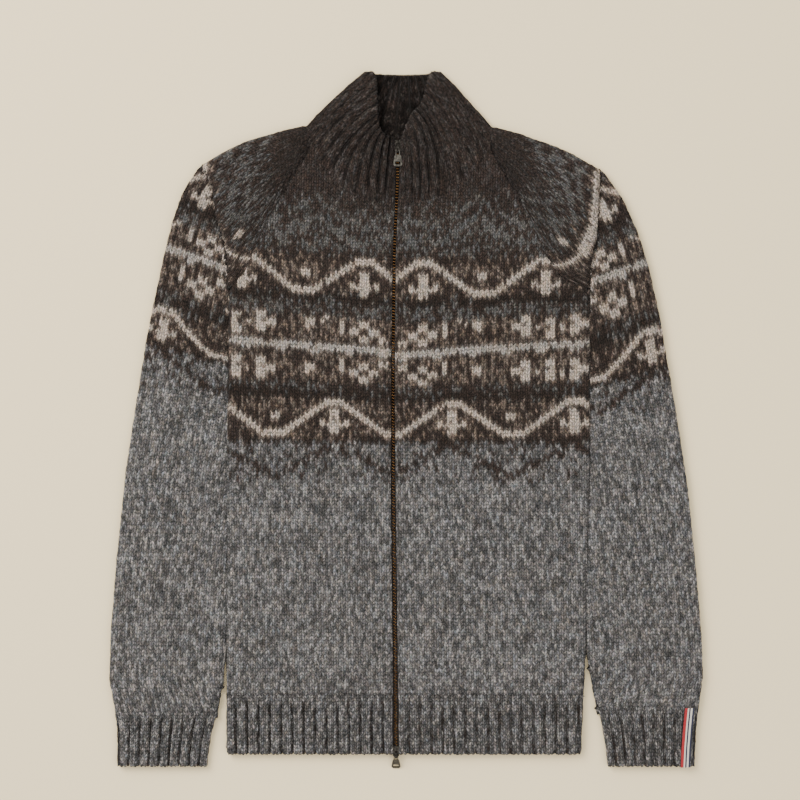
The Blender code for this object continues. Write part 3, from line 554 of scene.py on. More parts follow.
def swells(x, y):
    """Slow unevenness of cloth that lies loose, in mm."""
    slow = np.sin(x / 47 + y / 83 + 0.6) * np.sin(y / 61 - x / 120) + 0.6 * np.sin(x / 23 - y / 39 + 2.1)
    return 0.35 * slow


EDGE = 5.5  # half the garment's thickness, and the radius of its rolled side edges


def front_height(side, x, y, limit):
    from_zip = side * (x - x_at(ZIP_LINE, y))
    top = 10.2 + 0.8 * ramp(from_zip, 4, 45) + swells(x, y) * ramp(from_zip, 6, 40)
    top = np.minimum(top, rolled(from_zip - 2.6, 3.2, 8.4, 11.5))
    radius = EDGE * (1 - ramp(y, UNDERARM_Y - 8, UNDERARM_Y + 8)) + 0.01
    return np.where(radius > 0.5, rolled(side * (limit - x), radius, EDGE, top), top)


def front(name, side):
    chance = np.random.default_rng(11 + side)
    stitch, row = grid_of(*FRONT_GRID)
    y = row_y(side, row, side * 100.0)
    for _ in range(2):
        from_tape = mix(2.9, 1.8, ramp(y, -150, 200))  # the first stitch is half hidden in the seam
        x = x_at(ZIP_LINE, y) + side * np.maximum(STITCH_WIDTH * stitch, mix(from_tape, STITCH_WIDTH, stitch))
        y = row_y(side, row, x)
    limit = np.where(y < UNDERARM_Y, x_at(SIDE[side], y), x_at(RAGLAN[side], y) + side * 0.4)
    past_side = side * (x - limit) > 0
    x = np.where(past_side, limit, x)
    top = y_at(NECKLINE[side], x) + 3.5
    bottom = HEM_TOP_Y - SEAM_ALLOWANCE
    past_neck, past_hem = y > top, y < bottom
    y = np.clip(y, bottom, top)
    from_zip = side * (x - x_at(ZIP_LINE, y))
    z = front_height(side, x, y, limit) - 2.4 * (1 - ramp(top - y, 1, 9)) * ramp(from_zip, 6, 20)
    z = z - 1.7 * (1 - ramp(y - HEM_TOP_Y, -SEAM_ALLOWANCE, 1.0)) * (z > 6)  # sinks under the hem
    keep = legs_inside(past_side) & legs_inside(past_neck) & legs_inside(past_hem)
    rows, legs = leg_numbers(keep, FRONT_GRID[2])
    kinds = charted(legs // 2 + 1, rows, chance)
    return knit_panel(name, (x, y, z), stitch, keep, kinds, chance, WOOL)


front_left = front("front_left_knit", 1)
front_right = front("front_right_knit", -1)
print("front:", len(front_left.data.polygons), "faces")

# %% [markdown]
# ## Shoulder caps
# In a round yoke the rows go on over the shoulders as arcs about the neck. On this garment, laid
# flat with its sleeves folded back, the last arc runs along the fold itself. Each row of the cap is a
# Bezier arc from the raglan to the shoulder, and the fold cuts off what would lie beyond it.

# %% The caps
CAP_STITCHES, CAP_CHART_START = 24, 34  # stitches in the cap, and the chart's stitch at its raglan
LAST_ARC_ROW = -23.0  # the row that runs along the fold


def raglan_rows(side):
    """Row number of the front at points along the raglan, and those points."""
    share = np.linspace(0, 1, 60)
    x, y = along(RAGLAN[side], share)
    rows = np.arange(-75, 60)
    found = [np.interp(-py, -row_y(side, rows, px), rows) for px, py in zip(x, y)]
    return np.array(found)[::-1], x[::-1], y[::-1]


def cap(name, side, under=False):
    chance = np.random.default_rng(31 + side + 4 * under)
    numbers, raglan_x, raglan_y = raglan_rows(side)
    first, last = int(numbers[0]), int(numbers[-1]) + 1
    stitch, row = grid_of(0, CAP_STITCHES, first, last - first)
    t = stitch / CAP_STITCHES
    share = (row - first) / (LAST_ARC_ROW - first)
    start_x, start_y = np.interp(row, numbers, raglan_x), np.interp(row, numbers, raglan_y)
    end_x, end_y = along(SHOULDER[side], np.clip(share, 0, 1))
    start_x = start_x - side * 7 * ramp(start_y, 285, 306)
    past = np.clip(share - 1, 0, None)
    end_x, end_y = end_x + side * 130 * past, end_y - 190 * past
    turn_x = side * mix(90, 221, share) - (10 if side < 0 else 0)
    turn_y = mix(318, 170, share) + (9 if side < 0 else 0) * share
    x = (1 - t) ** 2 * start_x + 2 * t * (1 - t) * turn_x + t * t * end_x
    y = (1 - t) ** 2 * start_y + 2 * t * (1 - t) * turn_y + t * t * end_y
    limit = x_at(FOLD[side], y)
    past_fold = side * (x - limit) > 0
    x = np.where(past_fold, limit, x)
    top = y_at(SHOULDER[side], x)
    past_top = y > top
    y = np.minimum(y, top)
    from_fold, from_top = side * (limit - x), (top - y) * 0.88
    z = 11 + 3.0 * (1 - ramp(from_fold, 0, 55)) * ramp(side * (x - np.interp(row, numbers, raglan_x)), 0, 30)
    z = z + swells(x, y) * 0.6 - 3.2 * (1 - ramp(row, first + 0.5, first + 5))
    z = rolled(from_fold, 4.5, 9.0, z)
    z = np.minimum(z, rolled(from_top, EDGE + 1.5, EDGE, z))
    if under:
        z = rolled(from_top, EDGE, EDGE, LEG_RELIEF)
    keep = legs_inside(past_fold) & legs_inside(past_top)
    rows, legs = leg_numbers(keep, first)
    kinds = charted(legs // 2 + CAP_CHART_START, rows, chance, CAP_CHART)
    return knit_panel(name, (x, y, z), stitch, keep, kinds, chance, WOOL, under)


CAP_CHART = FRONT_CHART.copy()
upper_rows = CAP_CHART[:-13 - FIRST_ROW, CAP_CHART_START:]  # a view, so the chart itself changes
upper_rows[upper_rows == CREAM] = GROUND
CAP_CHART[-24 - FIRST_ROW, CAP_CHART_START:] = CREAM
CAP_CHART[-25 - FIRST_ROW:-22 - FIRST_ROW, 43:] = CREAM
stamp(CAP_CHART, "dot", 40, -30)
cap_left = cap("shoulder_left_knit", 1)
cap_right = cap("shoulder_right_knit", -1)
cap_under_left = cap("shoulder_left_under_knit", 1, under=True)
cap_under_right = cap("shoulder_right_under_knit", -1, under=True)
print("cap:", len(cap_left.data.polygons), "faces")

# %% [markdown]
# ## The arms
# Below the fold the sleeve hangs straight, with its stitches in line with its outer edge. The body
# lies on its inner edge, so the cloth dips there and a soft shadow falls into the groove. The rows
# climb towards the outer edge near the shoulder and level out above the elbow.

# %% The arms
ARM_ROWS = (-30.0, -24.5, 0.0, 16.0, 27.0, 122.0, 126.0)
ARM_HEIGHTS = {1: (288, 268, 179.5, 105, 62, -323, -339), -1: (296, 283, 196, 129, 88, -329, -345)}
ARM_TILT_ROWS, ARM_TILT = (-30.0, 20.0, 48.0, 122.0), (0.33, 0.33, 0.02, 0.0)
ARM_STITCHES, ARM_FIRST_ROW, ARM_ROW_COUNT = 25, -30, 156
ARM_END = {1: -330.8, -1: -336.8}  # 7 mm beyond the start of the cuff, which covers it
ARM_TOP = 10.2
ARM_FIRST_STITCH = 15  # chart stitch at the outer edge


def arm(name, side, under=False):
    chance = np.random.default_rng(51 + side + 4 * under)
    stitch, row = grid_of(0, ARM_STITCHES, ARM_FIRST_ROW, ARM_ROW_COUNT)
    inwards = stitch * STITCH_WIDTH
    y = np.interp(row, ARM_ROWS, ARM_HEIGHTS[side]) - np.interp(row, ARM_TILT_ROWS, ARM_TILT) * inwards
    x = x_at(SLEEVE_OUTER[side], y) - side * inwards
    inner_line = SLEEVE_INNER[side] + FOLD[side][1:]
    limit = x_at(inner_line, y) - side * 3 * ramp(y, -250, -200)
    past_inner = side * (limit - x) > 0
    x = np.where(past_inner, limit, x)
    end_y, top_y = ARM_END[side], SHOULDER[side][-1][1]
    past_end, past_top = y < end_y, y > top_y
    y = np.clip(y, end_y, top_y)
    slope = (x_at(SLEEVE_OUTER[side], y + 4) - x_at(SLEEVE_OUTER[side], y - 4)) / 8
    from_outer = side * (x_at(SLEEVE_OUTER[side], y) - x) / np.sqrt(1 + slope * slope)
    from_inner = side * (x - limit)
    z = rolled(from_inner, 20, 3.6, ARM_TOP + swells(x, y) * 1.3)
    z = np.minimum(z, rolled(from_outer, EDGE + 1, EDGE, ARM_TOP + 0.8))
    z = z - 2.2 * (1 - ramp(y - end_y, 0, 9)) * (z > 6)
    if under:
        z = rolled(np.minimum(from_outer, from_inner), EDGE, EDGE, LEG_RELIEF)
    keep = legs_inside(past_inner) & legs_inside(past_end) & legs_inside(past_top)
    rows, legs = leg_numbers(keep, ARM_FIRST_ROW)
    kinds = charted(np.abs(ARM_FIRST_STITCH - legs // 2), rows, chance, ARM_CHART)
    return knit_panel(name, (x, y, z), stitch, keep, kinds, chance, WOOL, under)


ARM_CHART = draw_chart(10, [m for m in FRONT_MOTIFS if m[2] > -20] + [("cross", 8, -22)])
arm_left = arm("arm_left_knit", 1)
arm_right = arm("arm_right_knit", -1)
arm_under_left = arm("arm_left_under_knit", 1, under=True)
arm_under_right = arm("arm_right_under_knit", -1, under=True)
print("arm:", len(arm_left.data.polygons), "faces")

# %% [markdown]
# ## The back
# The back lies on the table and carries the same bands, counted from its middle. Its knit face looks
# down, so the crests of the stitches rest on the table and the plain inner face looks up. The side
# edges roll up to meet the fronts half-way.

# %% The back
BACK_GRID = (-39, 78, -60, 159)  # first stitch, stitches, first row, rows


def back(name):
    chance = np.random.default_rng(71)
    stitch, row = grid_of(*BACK_GRID)
    middle = (x_at(SIDE[1], 0) + x_at(SIDE[-1], 0)) / 2
    x = middle + STITCH_WIDTH * stitch
    y = row_y(1, row, x)
    limit = {side: np.where(y < UNDERARM_Y, x_at(SIDE[side], y), x_at(RAGLAN[side], y)) for side in (1, -1)}
    past_left, past_right = x > limit[1], x < limit[-1]
    x = np.clip(x, limit[-1], limit[1])
    past_neck, past_hem = y > BACK_NECK_Y + 2, y < HEM_TOP_Y - 0.3
    y = np.clip(y, HEM_TOP_Y - 0.3, BACK_NECK_Y + 2)
    from_side = np.minimum(limit[1] - x, x - limit[-1])
    edge = LEG_RELIEF + (EDGE - LEG_RELIEF) * (1 - ramp(y, UNDERARM_Y - 8, UNDERARM_Y + 8))
    z = rolled(from_side, EDGE, edge, LEG_RELIEF)
    keep = legs_inside(past_left) & legs_inside(past_right) & legs_inside(past_neck) & legs_inside(past_hem)
    rows, legs = leg_numbers(keep, BACK_GRID[2])
    from_middle = np.abs(legs - (keep.shape[1] - 1) / 2).astype(int) // 2
    kinds = charted(from_middle, rows, chance)
    return knit_panel(name, (x, y, z), stitch, keep, kinds, chance, WOOL, under=True)


back_knit = back("back_knit")
print("back:", len(back_knit.data.polygons), "faces")

# %% [markdown]
# ## Ribs
# Hem, cuffs and collar are ribbed: columns of knit stitches stand up in a crest and columns of purl
# stitches sink between them, so the cloth draws in like a spring. Here two stitches make a crest and
# one narrow stitch makes the valley, which is darkened with painted shade. The ribs begin softly below
# the plain knit.

# %% The shape of a rib
RIB_PITCH, RIB_STITCHES, RIB_RISE = 12.8, 3, 1.9
RIB_PROFILE = ((0, 0.25), (0.06, 0.7), (0.16, 1.0), (0.62, 1.0), (0.72, 0.7), (0.78, 0.25), (0.89, -0.55),
               (1.0, 0.25))
RIB_MARL = (("marl mid", 0.40), ("marl dark", 0.36), ("marl light", 0.24))


def rib_place(stitch):
    """Where a stitch lies, counted in ribs: the valley's stitch is drawn together."""
    whole = np.floor(stitch / RIB_STITCHES)
    return whole + np.interp(stitch / RIB_STITCHES - whole, (0, 2 / 3, 1), (0, 0.78, 1))


def rib_rise(place):
    """From -0.55 in a valley to 1 on a crest."""
    share, height = zip(*RIB_PROFILE)
    return np.interp(place % 1, share, height)


def shade_valleys(legs, depth, kinds, chance):
    """Paints shade on the valley's legs, in the darker yarns."""
    valley = (legs // 2) % RIB_STITCHES == RIB_STITCHES - 1
    kinds[valley & (chance.random(kinds.shape) < depth)] = YARN_NAMES.index("marl dark")
    kinds[valley & (chance.random(kinds.shape) < 0.5 * depth)] = YARN_NAMES.index("deep brown")
    return kinds


def knit_ribs(name, place, stitch, keep, chance, under=False):
    """A ribbed panel in marl, whose valleys of painted shade set in over its first rows."""
    rows, legs = leg_numbers(keep)
    kinds = shade_valleys(legs, 0.8 * ramp(rows, 0, 4), pick(RIB_MARL, keep.shape, chance), chance)
    return knit_panel(name, place, stitch, keep, kinds, chance, RIB_WOOL, under, strength=0.8)


print("rib pitch:", RIB_PITCH, "mm")

# %% [markdown]
# ## The hem
# The hem's ribs run straight down from the body. Its two front parts end at the zip, and the back
# part runs from side to side. Its lower edge is a little scalloped, because each crest stands
# further out than the valleys.

# %% The hem
HEM_ROWS, FRONT_RIBS, BACK_RIBS = 18, 17, 32


def hem_y(row, place):
    """Rows of the hem: they end in a soft, slightly scalloped edge."""
    end = HEM_END_Y + 1.2 * (1 - np.clip(rib_rise(place), 0, 1))
    return mix(HEM_TOP_Y, end, row / HEM_ROWS)


def hem_front(name, side):
    chance = np.random.default_rng(81 + side)
    stitch, row = grid_of(0, FRONT_RIBS * RIB_STITCHES, 0, HEM_ROWS)
    row = np.minimum(row, HEM_ROWS)
    place = rib_place(stitch) + 0.12
    y = hem_y(row, place)
    x = x_at(ZIP_LINE, y) + side * (3.4 + RIB_PITCH * (place - 0.12))
    limit = x_at(SIDE[side], y) - side * 1.5 * ramp(-y, -HEM_END_Y - 9, -HEM_END_Y)
    past_side = side * (x - limit) > 0
    x = np.where(past_side, limit, x)
    strength = ramp(HEM_TOP_Y - y, 0, 14)
    z = front_height(side, x, y, limit) + strength * (RIB_RISE * rib_rise(place) - 1.0)
    z = np.minimum(z, rolled(y - HEM_END_Y, 2.6, 8.6, 13.5))
    z = np.where(past_side, EDGE, z)
    return knit_ribs(name, (x, y, z), stitch, legs_inside(past_side), chance)


def hem_back(name):
    chance = np.random.default_rng(85)
    stitch, row = grid_of(0, BACK_RIBS * RIB_STITCHES, 0, HEM_ROWS)
    row = np.clip(row, 0, HEM_ROWS)
    place = rib_place(stitch)
    y = hem_y(row, place)
    left, right = x_at(SIDE[1], y), x_at(SIDE[-1], y)
    x = mix(right, left, place / BACK_RIBS)
    strength = 0.35 + 0.65 * ramp(HEM_TOP_Y - y, 0, 12)
    z = rolled(np.minimum(left - x, x - right), EDGE, EDGE, LEG_RELIEF)
    z = z + strength * 1.2 * (1 - np.clip(rib_rise(place), 0, 1)) * (z < 2)
    keep = np.ones((HEM_ROWS, BACK_RIBS * RIB_STITCHES * 2), bool)
    return knit_ribs(name, (x, y, z), stitch, keep, chance, under=True)


hem_left = hem_front("hem_left_knit", 1)
hem_right = hem_front("hem_right_knit", -1)
hem_under = hem_back("hem_back_knit")
print("hem:", sum(len(part.data.polygons) for part in (hem_left, hem_right, hem_under)), "faces")

# %% [markdown]
# ## The cuffs
# Each cuff is a tube that lies flat, so it has an upper and a lower half, and both roll round at the
# two edges. The ribs lean together a little as the cuff narrows to the wrist.

# %% The cuffs
CUFF_RIBS, CUFF_ROWS = 9, 17
CUFF_INNER = {1: [(216, -323.8), (221.5, -346), (225.5, -369), (228, -391.8)],
              -1: [(-214, -329.8), (-219.5, -350), (-223, -370), (-225.5, -391.8)]}
CUFF_OUTER = {1: [(330.5, -323.8), (328.5, -346), (326.8, -369), (326, -391.8)],
              -1: [(-329.5, -329.8), (-327, -350), (-327, -370), (-327, -391.8)]}


def cuff(name, side, under=False):
    chance = np.random.default_rng(91 + side + 4 * under)
    stitch, row = grid_of(0, CUFF_RIBS * RIB_STITCHES, 0, CUFF_ROWS)
    row = np.minimum(row, CUFF_ROWS)
    place = rib_place(stitch)
    start_y, end_y = CUFF_INNER[side][0][1], CUFF_INNER[side][-1][1]
    end = end_y + 1.2 * (1 - np.clip(rib_rise(place + 0.11), 0, 1))
    y = mix(start_y, end, row / CUFF_ROWS)
    inner_x, outer_x = x_at(CUFF_INNER[side], y), x_at(CUFF_OUTER[side], y)
    x = mix(inner_x, outer_x, place / CUFF_RIBS)
    from_edge = np.minimum(side * (x - inner_x), side * (outer_x - x))
    strength = 0.3 + 0.7 * ramp(start_y - y, 0, 14)
    if under:
        z = rolled(from_edge, EDGE, EDGE, LEG_RELIEF)
        z = z + strength * 1.2 * (1 - np.clip(rib_rise(place + 0.11), 0, 1)) * (z < 2)
    else:
        z = rolled(from_edge, EDGE, EDGE, mix(10.2, 9.6, ramp(start_y - y, 0, 12)))
        z = z + (strength - 0.25) / 0.75 * (RIB_RISE * rib_rise(place + 0.11) - 0.6) * ramp(from_edge, 0, 4)
        z = z - 1.0 * (1 - ramp(start_y - y, -1.5, 4)) * (z > 6)
        z = np.minimum(z, rolled(y - end_y, 2.6, 8.0, 13.5))
    keep = np.ones((CUFF_ROWS, CUFF_RIBS * RIB_STITCHES * 2), bool)
    return knit_ribs(name, (x, y, z), stitch, keep, chance, under)


cuffs = {}
for side, word in ((1, "left"), (-1, "right")):
    for under, half in ((False, ""), (True, "_under")):
        cuffs[side, under] = cuff(f"cuff_{word}{half}_knit", side, under)
print("cuffs:", sum(len(c.data.polygons) for c in cuffs.values()), "faces")

# %% [markdown]
# ## The collar
# The collar stands up when the cardigan is worn. Here it has fallen open: both fronts lie over the
# shoulders in soft lobes, and between them the inside of the back shows. A table of stations walks
# round the neck. Each station gives the place of the upper edge, the place of the neck seam and how
# far the cloth swells up between them, and a smooth curve through the stations fills in the rest.

# %% The collar
COLLAR = {  # upper edge x, y, z; bend x, y, z; neck seam x, y, z; how clearly the ribs show
    1: ((-4.8, 319.7, 8.3, -6, 288.6, 8.6, -7.9, 249.8, 8.3, 0.3),
        (-2, 324.8, 12, 3.1, 305.6, 14.5, 2, 250.2, 9, 1.1),
        (0.8, 333.8, 15, 14.4, 318, 21, 11, 250.2, 9.2, 1.1),
        (5.4, 345.1, 16, 26.8, 321.4, 22, 22.3, 251.3, 9.2, 1.1),
        (9.9, 351.3, 16, 39.3, 320.2, 19, 34.7, 253.6, 9.2, 0.7),
        (15, 356.4, 15.5, 47.2, 318, 9.5, 51.7, 261.5, 9.2, 0.3),
        (18.4, 364.3, 15, 56.2, 325.9, 13, 69.8, 276.2, 9.2, 0.25),
        (22, 379, 14, 65.3, 339.5, 14, 82.2, 290.9, 9.2, 0.2),
        (26.5, 392.6, 11.8, 69.8, 353, 12, 90.1, 306.7, 8.8, 0.2),
        (37.2, 393.3, 6.8, 69.8, 362.1, 7.2, 97.5, 328, 6, 0.2),
        (30.8, 393, 1.8, 60.7, 362.1, 1.8, 90.1, 313, 1.8, 1)),
    -1: ((-13.8, 319.7, 8.3, -13.5, 288.6, 8.6, -13.4, 249.8, 8.3, 0.3),
         (-18.4, 320.8, 12, -20.1, 299.9, 13.5, -24, 250.2, 9, 1.1),
         (-23.4, 321.9, 15, -29.7, 305.6, 18, -33.6, 251.9, 9.2, 1.2),
         (-27.4, 326.5, 17, -41, 313.5, 20, -45.5, 254.1, 9.2, 1.2),
         (-29.7, 332.1, 17.5, -51.1, 316.9, 19, -60.2, 260.4, 9.2, 1.2),
         (-31, 340, 17, -61.3, 318, 12, -77.1, 272.8, 9.2, 1.1),
         (-31.6, 349.6, 17, -69.2, 328.2, 13, -89.6, 287.5, 9.2, 0.9),
         (-32.2, 366, 16, -74.9, 338.3, 15, -99.2, 302.7, 9.2, 0.6),
         (-33, 381, 15, -78.3, 349.6, 14, -106.5, 316.8, 9, 0.45),
         (-36, 392.9, 12, -80.5, 359.8, 12, -110.5, 324.8, 8, 0.3),
         (-45.5, 393, 6.8, -81.6, 363.2, 7, -113, 329.5, 6, 0.3),
         (-38.1, 392.8, 1.8, -72.6, 362.1, 1.8, -105, 314, 1.8, 1))}
COLLAR_BACK_MIDDLE = (-2.5, 391.8, 1.8, -4, 348, 1.8, -6, 307.4, 1.8, 1.3)
COLLAR_RIBS, COLLAR_BACK_RIBS, COLLAR_ROWS = 12, 9, 21
COLLAR_WALL = 3.2


def smooth_between(rows, share):
    """A smooth curve through the rows of a table, at shares from 0 to 1."""
    rows = np.array(rows, float)
    place = np.clip(share, 0, 1) * (len(rows) - 1)
    k = np.minimum(place.astype(int), len(rows) - 2)
    t = (place - k)[:, None]
    padded = np.concatenate([2 * rows[:1] - rows[1:2], rows, 2 * rows[-1:] - rows[-2:-1]])
    p0, p1, p2, p3 = (padded[k + n] for n in range(4))
    return 0.5 * (2 * p1 + (p2 - p0) * t + (2 * p0 - 5 * p1 + 4 * p2 - p3) * t ** 2
                  + (3 * p1 - p0 - 3 * p2 + p3) * t ** 3)


def collar(name):
    chance = np.random.default_rng(97)
    ribs = 2 * COLLAR_RIBS + COLLAR_BACK_RIBS
    stitch, row = grid_of(0, ribs * RIB_STITCHES, 0, COLLAR_ROWS)
    place = rib_place(stitch[0])
    left, right = place <= COLLAR_RIBS, place >= ribs - COLLAR_RIBS
    across_back = (COLLAR[1][-1], COLLAR_BACK_MIDDLE, COLLAR[-1][-1])
    stations = smooth_between(across_back, (place - COLLAR_RIBS) / COLLAR_BACK_RIBS)
    stations[left] = smooth_between(COLLAR[1], place[left] / COLLAR_RIBS)
    stations[right] = smooth_between(COLLAR[-1], (ribs - place[right]) / COLLAR_RIBS)
    down = np.clip(row / COLLAR_ROWS, 0, 1)
    top, bend, seam, clear = stations[:, :3], stations[:, 3:6], stations[:, 6:9], stations[:, 9]
    t = down[..., None] * 1.05
    points = (1 - t) ** 2 * top[None] + 2 * t * (1 - t) * bend[None] + t * t * seam[None]
    across, upwards = np.gradient(points, axis=1), -np.gradient(points, axis=0)
    for _ in range(6):
        across[:, 1:-1] = (across[:, :-2] + 2 * across[:, 1:-1] + across[:, 2:]) / 4
    normal = np.cross(upwards, across)
    normal /= np.linalg.norm(normal, axis=2, keepdims=True)
    if normal[2, 8, 2] < 0:
        normal = -normal
    from_zip = np.minimum(place, ribs - place)
    strength = ramp(from_zip, 0.2, 1.0) * clear * mix(1.0, 0.25, ramp(down, 0.7, 1.0))
    relief = strength * (rib_rise(place + 0.11)[None] * 2.1 - 1.1)
    folds = 0.7 * np.sin(7 * down + 0.9 * place[None]) * np.sin(0.8 * place[None] + 1.0)
    folds = folds * ramp(from_zip, 0.5, 2)
    centre = points + normal * (relief + folds)[..., None]
    outer = raise_legs(centre + normal * COLLAR_WALL / 2, normal, stitch, 0.8)
    inner = (centre - normal * COLLAR_WALL / 2)[:, ::2]
    outer[..., 2], inner[..., 2] = np.maximum(outer[..., 2], 0.05), np.maximum(inner[..., 2], 0.05)
    keep = np.ones((COLLAR_ROWS, ribs * RIB_STITCHES * 2), bool)
    rows, legs = leg_numbers(keep)
    kinds = pick((("collar brown", 0.5), ("deep brown", 0.18), ("collar grey", 0.32)), keep.shape, chance)
    valley = (legs // 2) % RIB_STITCHES == RIB_STITCHES - 1
    shown = np.clip(strength[:-1, ::2][:, :-1], 0, 1)
    # painted shade: the legs in the rib valleys take the darkest colour
    kinds[valley & (chance.random(kinds.shape) < 0.9 * shown)] = YARN_NAMES.index("collar painted shade")
    # painted shade: nearly half the legs of the collar's inside, shadowed by the fallen fronts, take the
    # darkest colour
    inside = (legs > 2 * RIB_STITCHES * COLLAR_RIBS) & (legs < 2 * RIB_STITCHES * (ribs - COLLAR_RIBS))
    kinds[inside & (chance.random(kinds.shape) < 0.45)] = YARN_NAMES.index("collar painted shade")
    return knit(name, outer, inner, keep, kinds, chance, COLLAR_WOOL)


collar_knit = collar("collar_knit")
print("collar:", len(collar_knit.data.polygons), "faces")

# %% [markdown]
# ## Zip tapes
# The tape is a narrow twill ribbon, sewn under each front. Only a dark line of it shows beside the
# teeth. It is one closed strip, made of a row of points across and many along the zip.

# %% Zip tapes
TAPE_LOW, TAPE_THICK, TAPE_NEAR, TAPE_FAR = 5.4, 0.9, 1.5, 11.0
TAPE_SPAN = (-375.0, 318.0)


def strip(name, edges, span, low, thick, finish, steps=90):
    """A closed strip between two edges, each a function from y to (x, z). It carries a UV map from 0 to 1
    across and along.
    """
    ys = np.linspace(*span, steps + 1)
    shape = bmesh.new()
    layer = shape.loops.layers.uv.new("stitches")
    rings = []
    for y in ys:
        corners = [(*edge(y), lift) for lift in (thick, 0) for edge in (edges if lift else edges[::-1])]
        rings.append([shape.verts.new((x * MM, y * MM, (low + z + lift) * MM)) for x, z, lift in corners])
    for i, (a, b) in enumerate(zip(rings, rings[1:])):
        for k in range(4):
            face = shape.faces.new((a[k], a[(k + 1) % 4], b[(k + 1) % 4], b[k]))
            for loop, (u, v) in zip(face.loops, ((k in (1, 2), i), (k in (0, 1), i), (k in (0, 1), i + 1),
                                                 (k in (1, 2), i + 1))):
                loop[layer].uv = (float(u), v / steps)
    shape.faces.new(rings[0][::-1])
    shape.faces.new(rings[-1])
    mesh = bpy.data.meshes.new(name)
    shape.to_mesh(mesh)
    shape.free()
    made = face_outwards(name, mesh, finish)
    mesh.shade_flat()
    return made


def twill_material(name, colour, scale):
    """A woven ribbon: fine diagonal ribs, with painted light on their crests and painted shade between them.
    """
    made, tree, shader = new_material(name, 0.85, Sheen_Weight=0.1)
    solid = node(tree, "ShaderNodeTexCoord").outputs["Object"]
    wave = node(tree, "ShaderNodeTexWave", {"Vector": solid, "Scale": scale, "Distortion": 0.6,
                                            "Detail": 2.0}, bands_direction="DIAGONAL").outputs["Fac"]
    # painted light and shade: lighter on the ribs' crests, darker between them
    tone = node(tree, "ShaderNodeMapRange", {"Value": wave, "To Min": 0.7, "To Max": 1.25}).outputs[0]
    shade = node(tree, "ShaderNodeVectorMath", {0: tuple(linear(colour)), "Scale": tone}, operation="SCALE")
    tree.links.new(shade.outputs[0], shader.inputs["Base Color"])
    bump = node(tree, "ShaderNodeBump", {"Height": wave, "Strength": 0.6, "Distance": 0.0003})
    tree.links.new(bump.outputs[0], shader.inputs["Normal"])
    return made


TAPE_FINISH = twill_material("zip_tape_twill", (38, 31, 27), 900.0)


def tape_edge(side, distance):
    return lambda y: (float(x_at(ZIP_LINE, y)) + side * distance, 0.0)


tapes = {side: strip("tape_left_twill" if side > 0 else "tape_right_twill",
                     [tape_edge(side, TAPE_NEAR), tape_edge(side, TAPE_FAR)][::side], TAPE_SPAN, TAPE_LOW,
                     TAPE_THICK, TAPE_FINISH) for side in (1, -1)}
print("tape:", TAPE_SPAN[1] - TAPE_SPAN[0], "mm long")

# %% [markdown]
# ## Metal
# The teeth are brass that has darkened with age, and the sliders are dark nickel, worn to a brighter
# colour where fingers rub them. Fine noise breaks up the roughness, so the metal doesn't look painted.

# %% Metals
def metal_material(name, colour, worn, roughness):
    made, tree, shader = new_material(name, roughness, Metallic=1.0)
    solid = node(tree, "ShaderNodeTexCoord").outputs["Object"]
    cloud = node(tree, "ShaderNodeTexNoise", {"Vector": solid, "Scale": 420.0, "Detail": 5.0,
                                              "Roughness": 0.6}).outputs["Fac"]
    share = node(tree, "ShaderNodeMapRange", {"Value": cloud, "From Min": 0.42, "From Max": 0.62}).outputs[0]
    colour = node(tree, "ShaderNodeMix", {0: share, 6: (*linear(colour), 1), 7: (*linear(worn), 1)},
                  data_type="RGBA").outputs[2]
    tree.links.new(colour, shader.inputs["Base Color"])
    rough = node(tree, "ShaderNodeMapRange", {"Value": cloud, "To Min": roughness - 0.1,
                                              "To Max": roughness + 0.15}).outputs[0]
    tree.links.new(rough, shader.inputs["Roughness"])
    return made


BRASS = metal_material("aged_brass", (88, 62, 38), (150, 112, 70), 0.42)
BLACK_NICKEL = metal_material("black_nickel", (26, 24, 22), (72, 69, 64), 0.3)
NICKEL = metal_material("dark_nickel", (70, 68, 63), (104, 101, 94), 0.34)
for name in ("slider_top", "slider_bottom", "pull_top", "pull_bottom"):
    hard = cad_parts[name]
    hard.data.materials.clear()
    hard.data.materials.append(NICKEL if name.startswith("pull") else BLACK_NICKEL)
    edge = hard.modifiers.new("rounded_edges", "BEVEL")
    edge.width, edge.segments, edge.limit_method, edge.angle_limit = 0.00022, 2, "ANGLE", math.radians(40)
print("metals:", BRASS.name, NICKEL.name)

# %% [markdown]
# ## The teeth
# Brass teeth are clamped to both tapes and lie between each other like the fingers of two hands. The
# same tooth repeats all along a path, which is what Geometry Nodes are for: the zip line is sampled
# at an even pitch, a tooth stands on every point, and the second row is set half a pitch further on.

# %% The teeth
TOOTH_PITCH, TOOTH_SIZE, TEETH_Z = 3.28, (1.8, 1.1, 2.0), 7.6
TEETH_SPAN, TOOTH_SHIFT = (-367.0, 304.5), 0.75  # from where to where, and how far from the middle


def new_tooth(size):
    """One tooth: a block with rounded edges."""
    shape = bmesh.new()
    bmesh.ops.create_cube(shape, size=1.0)
    bmesh.ops.scale(shape, vec=np.array(size) * MM, verts=shape.verts)
    bmesh.ops.bevel(shape, geom=shape.edges[:], offset=0.0003, segments=1, affect="EDGES")
    mesh = bpy.data.meshes.new("tooth")
    shape.to_mesh(mesh)
    shape.free()
    return bpy.data.objects.new("tooth", mesh)


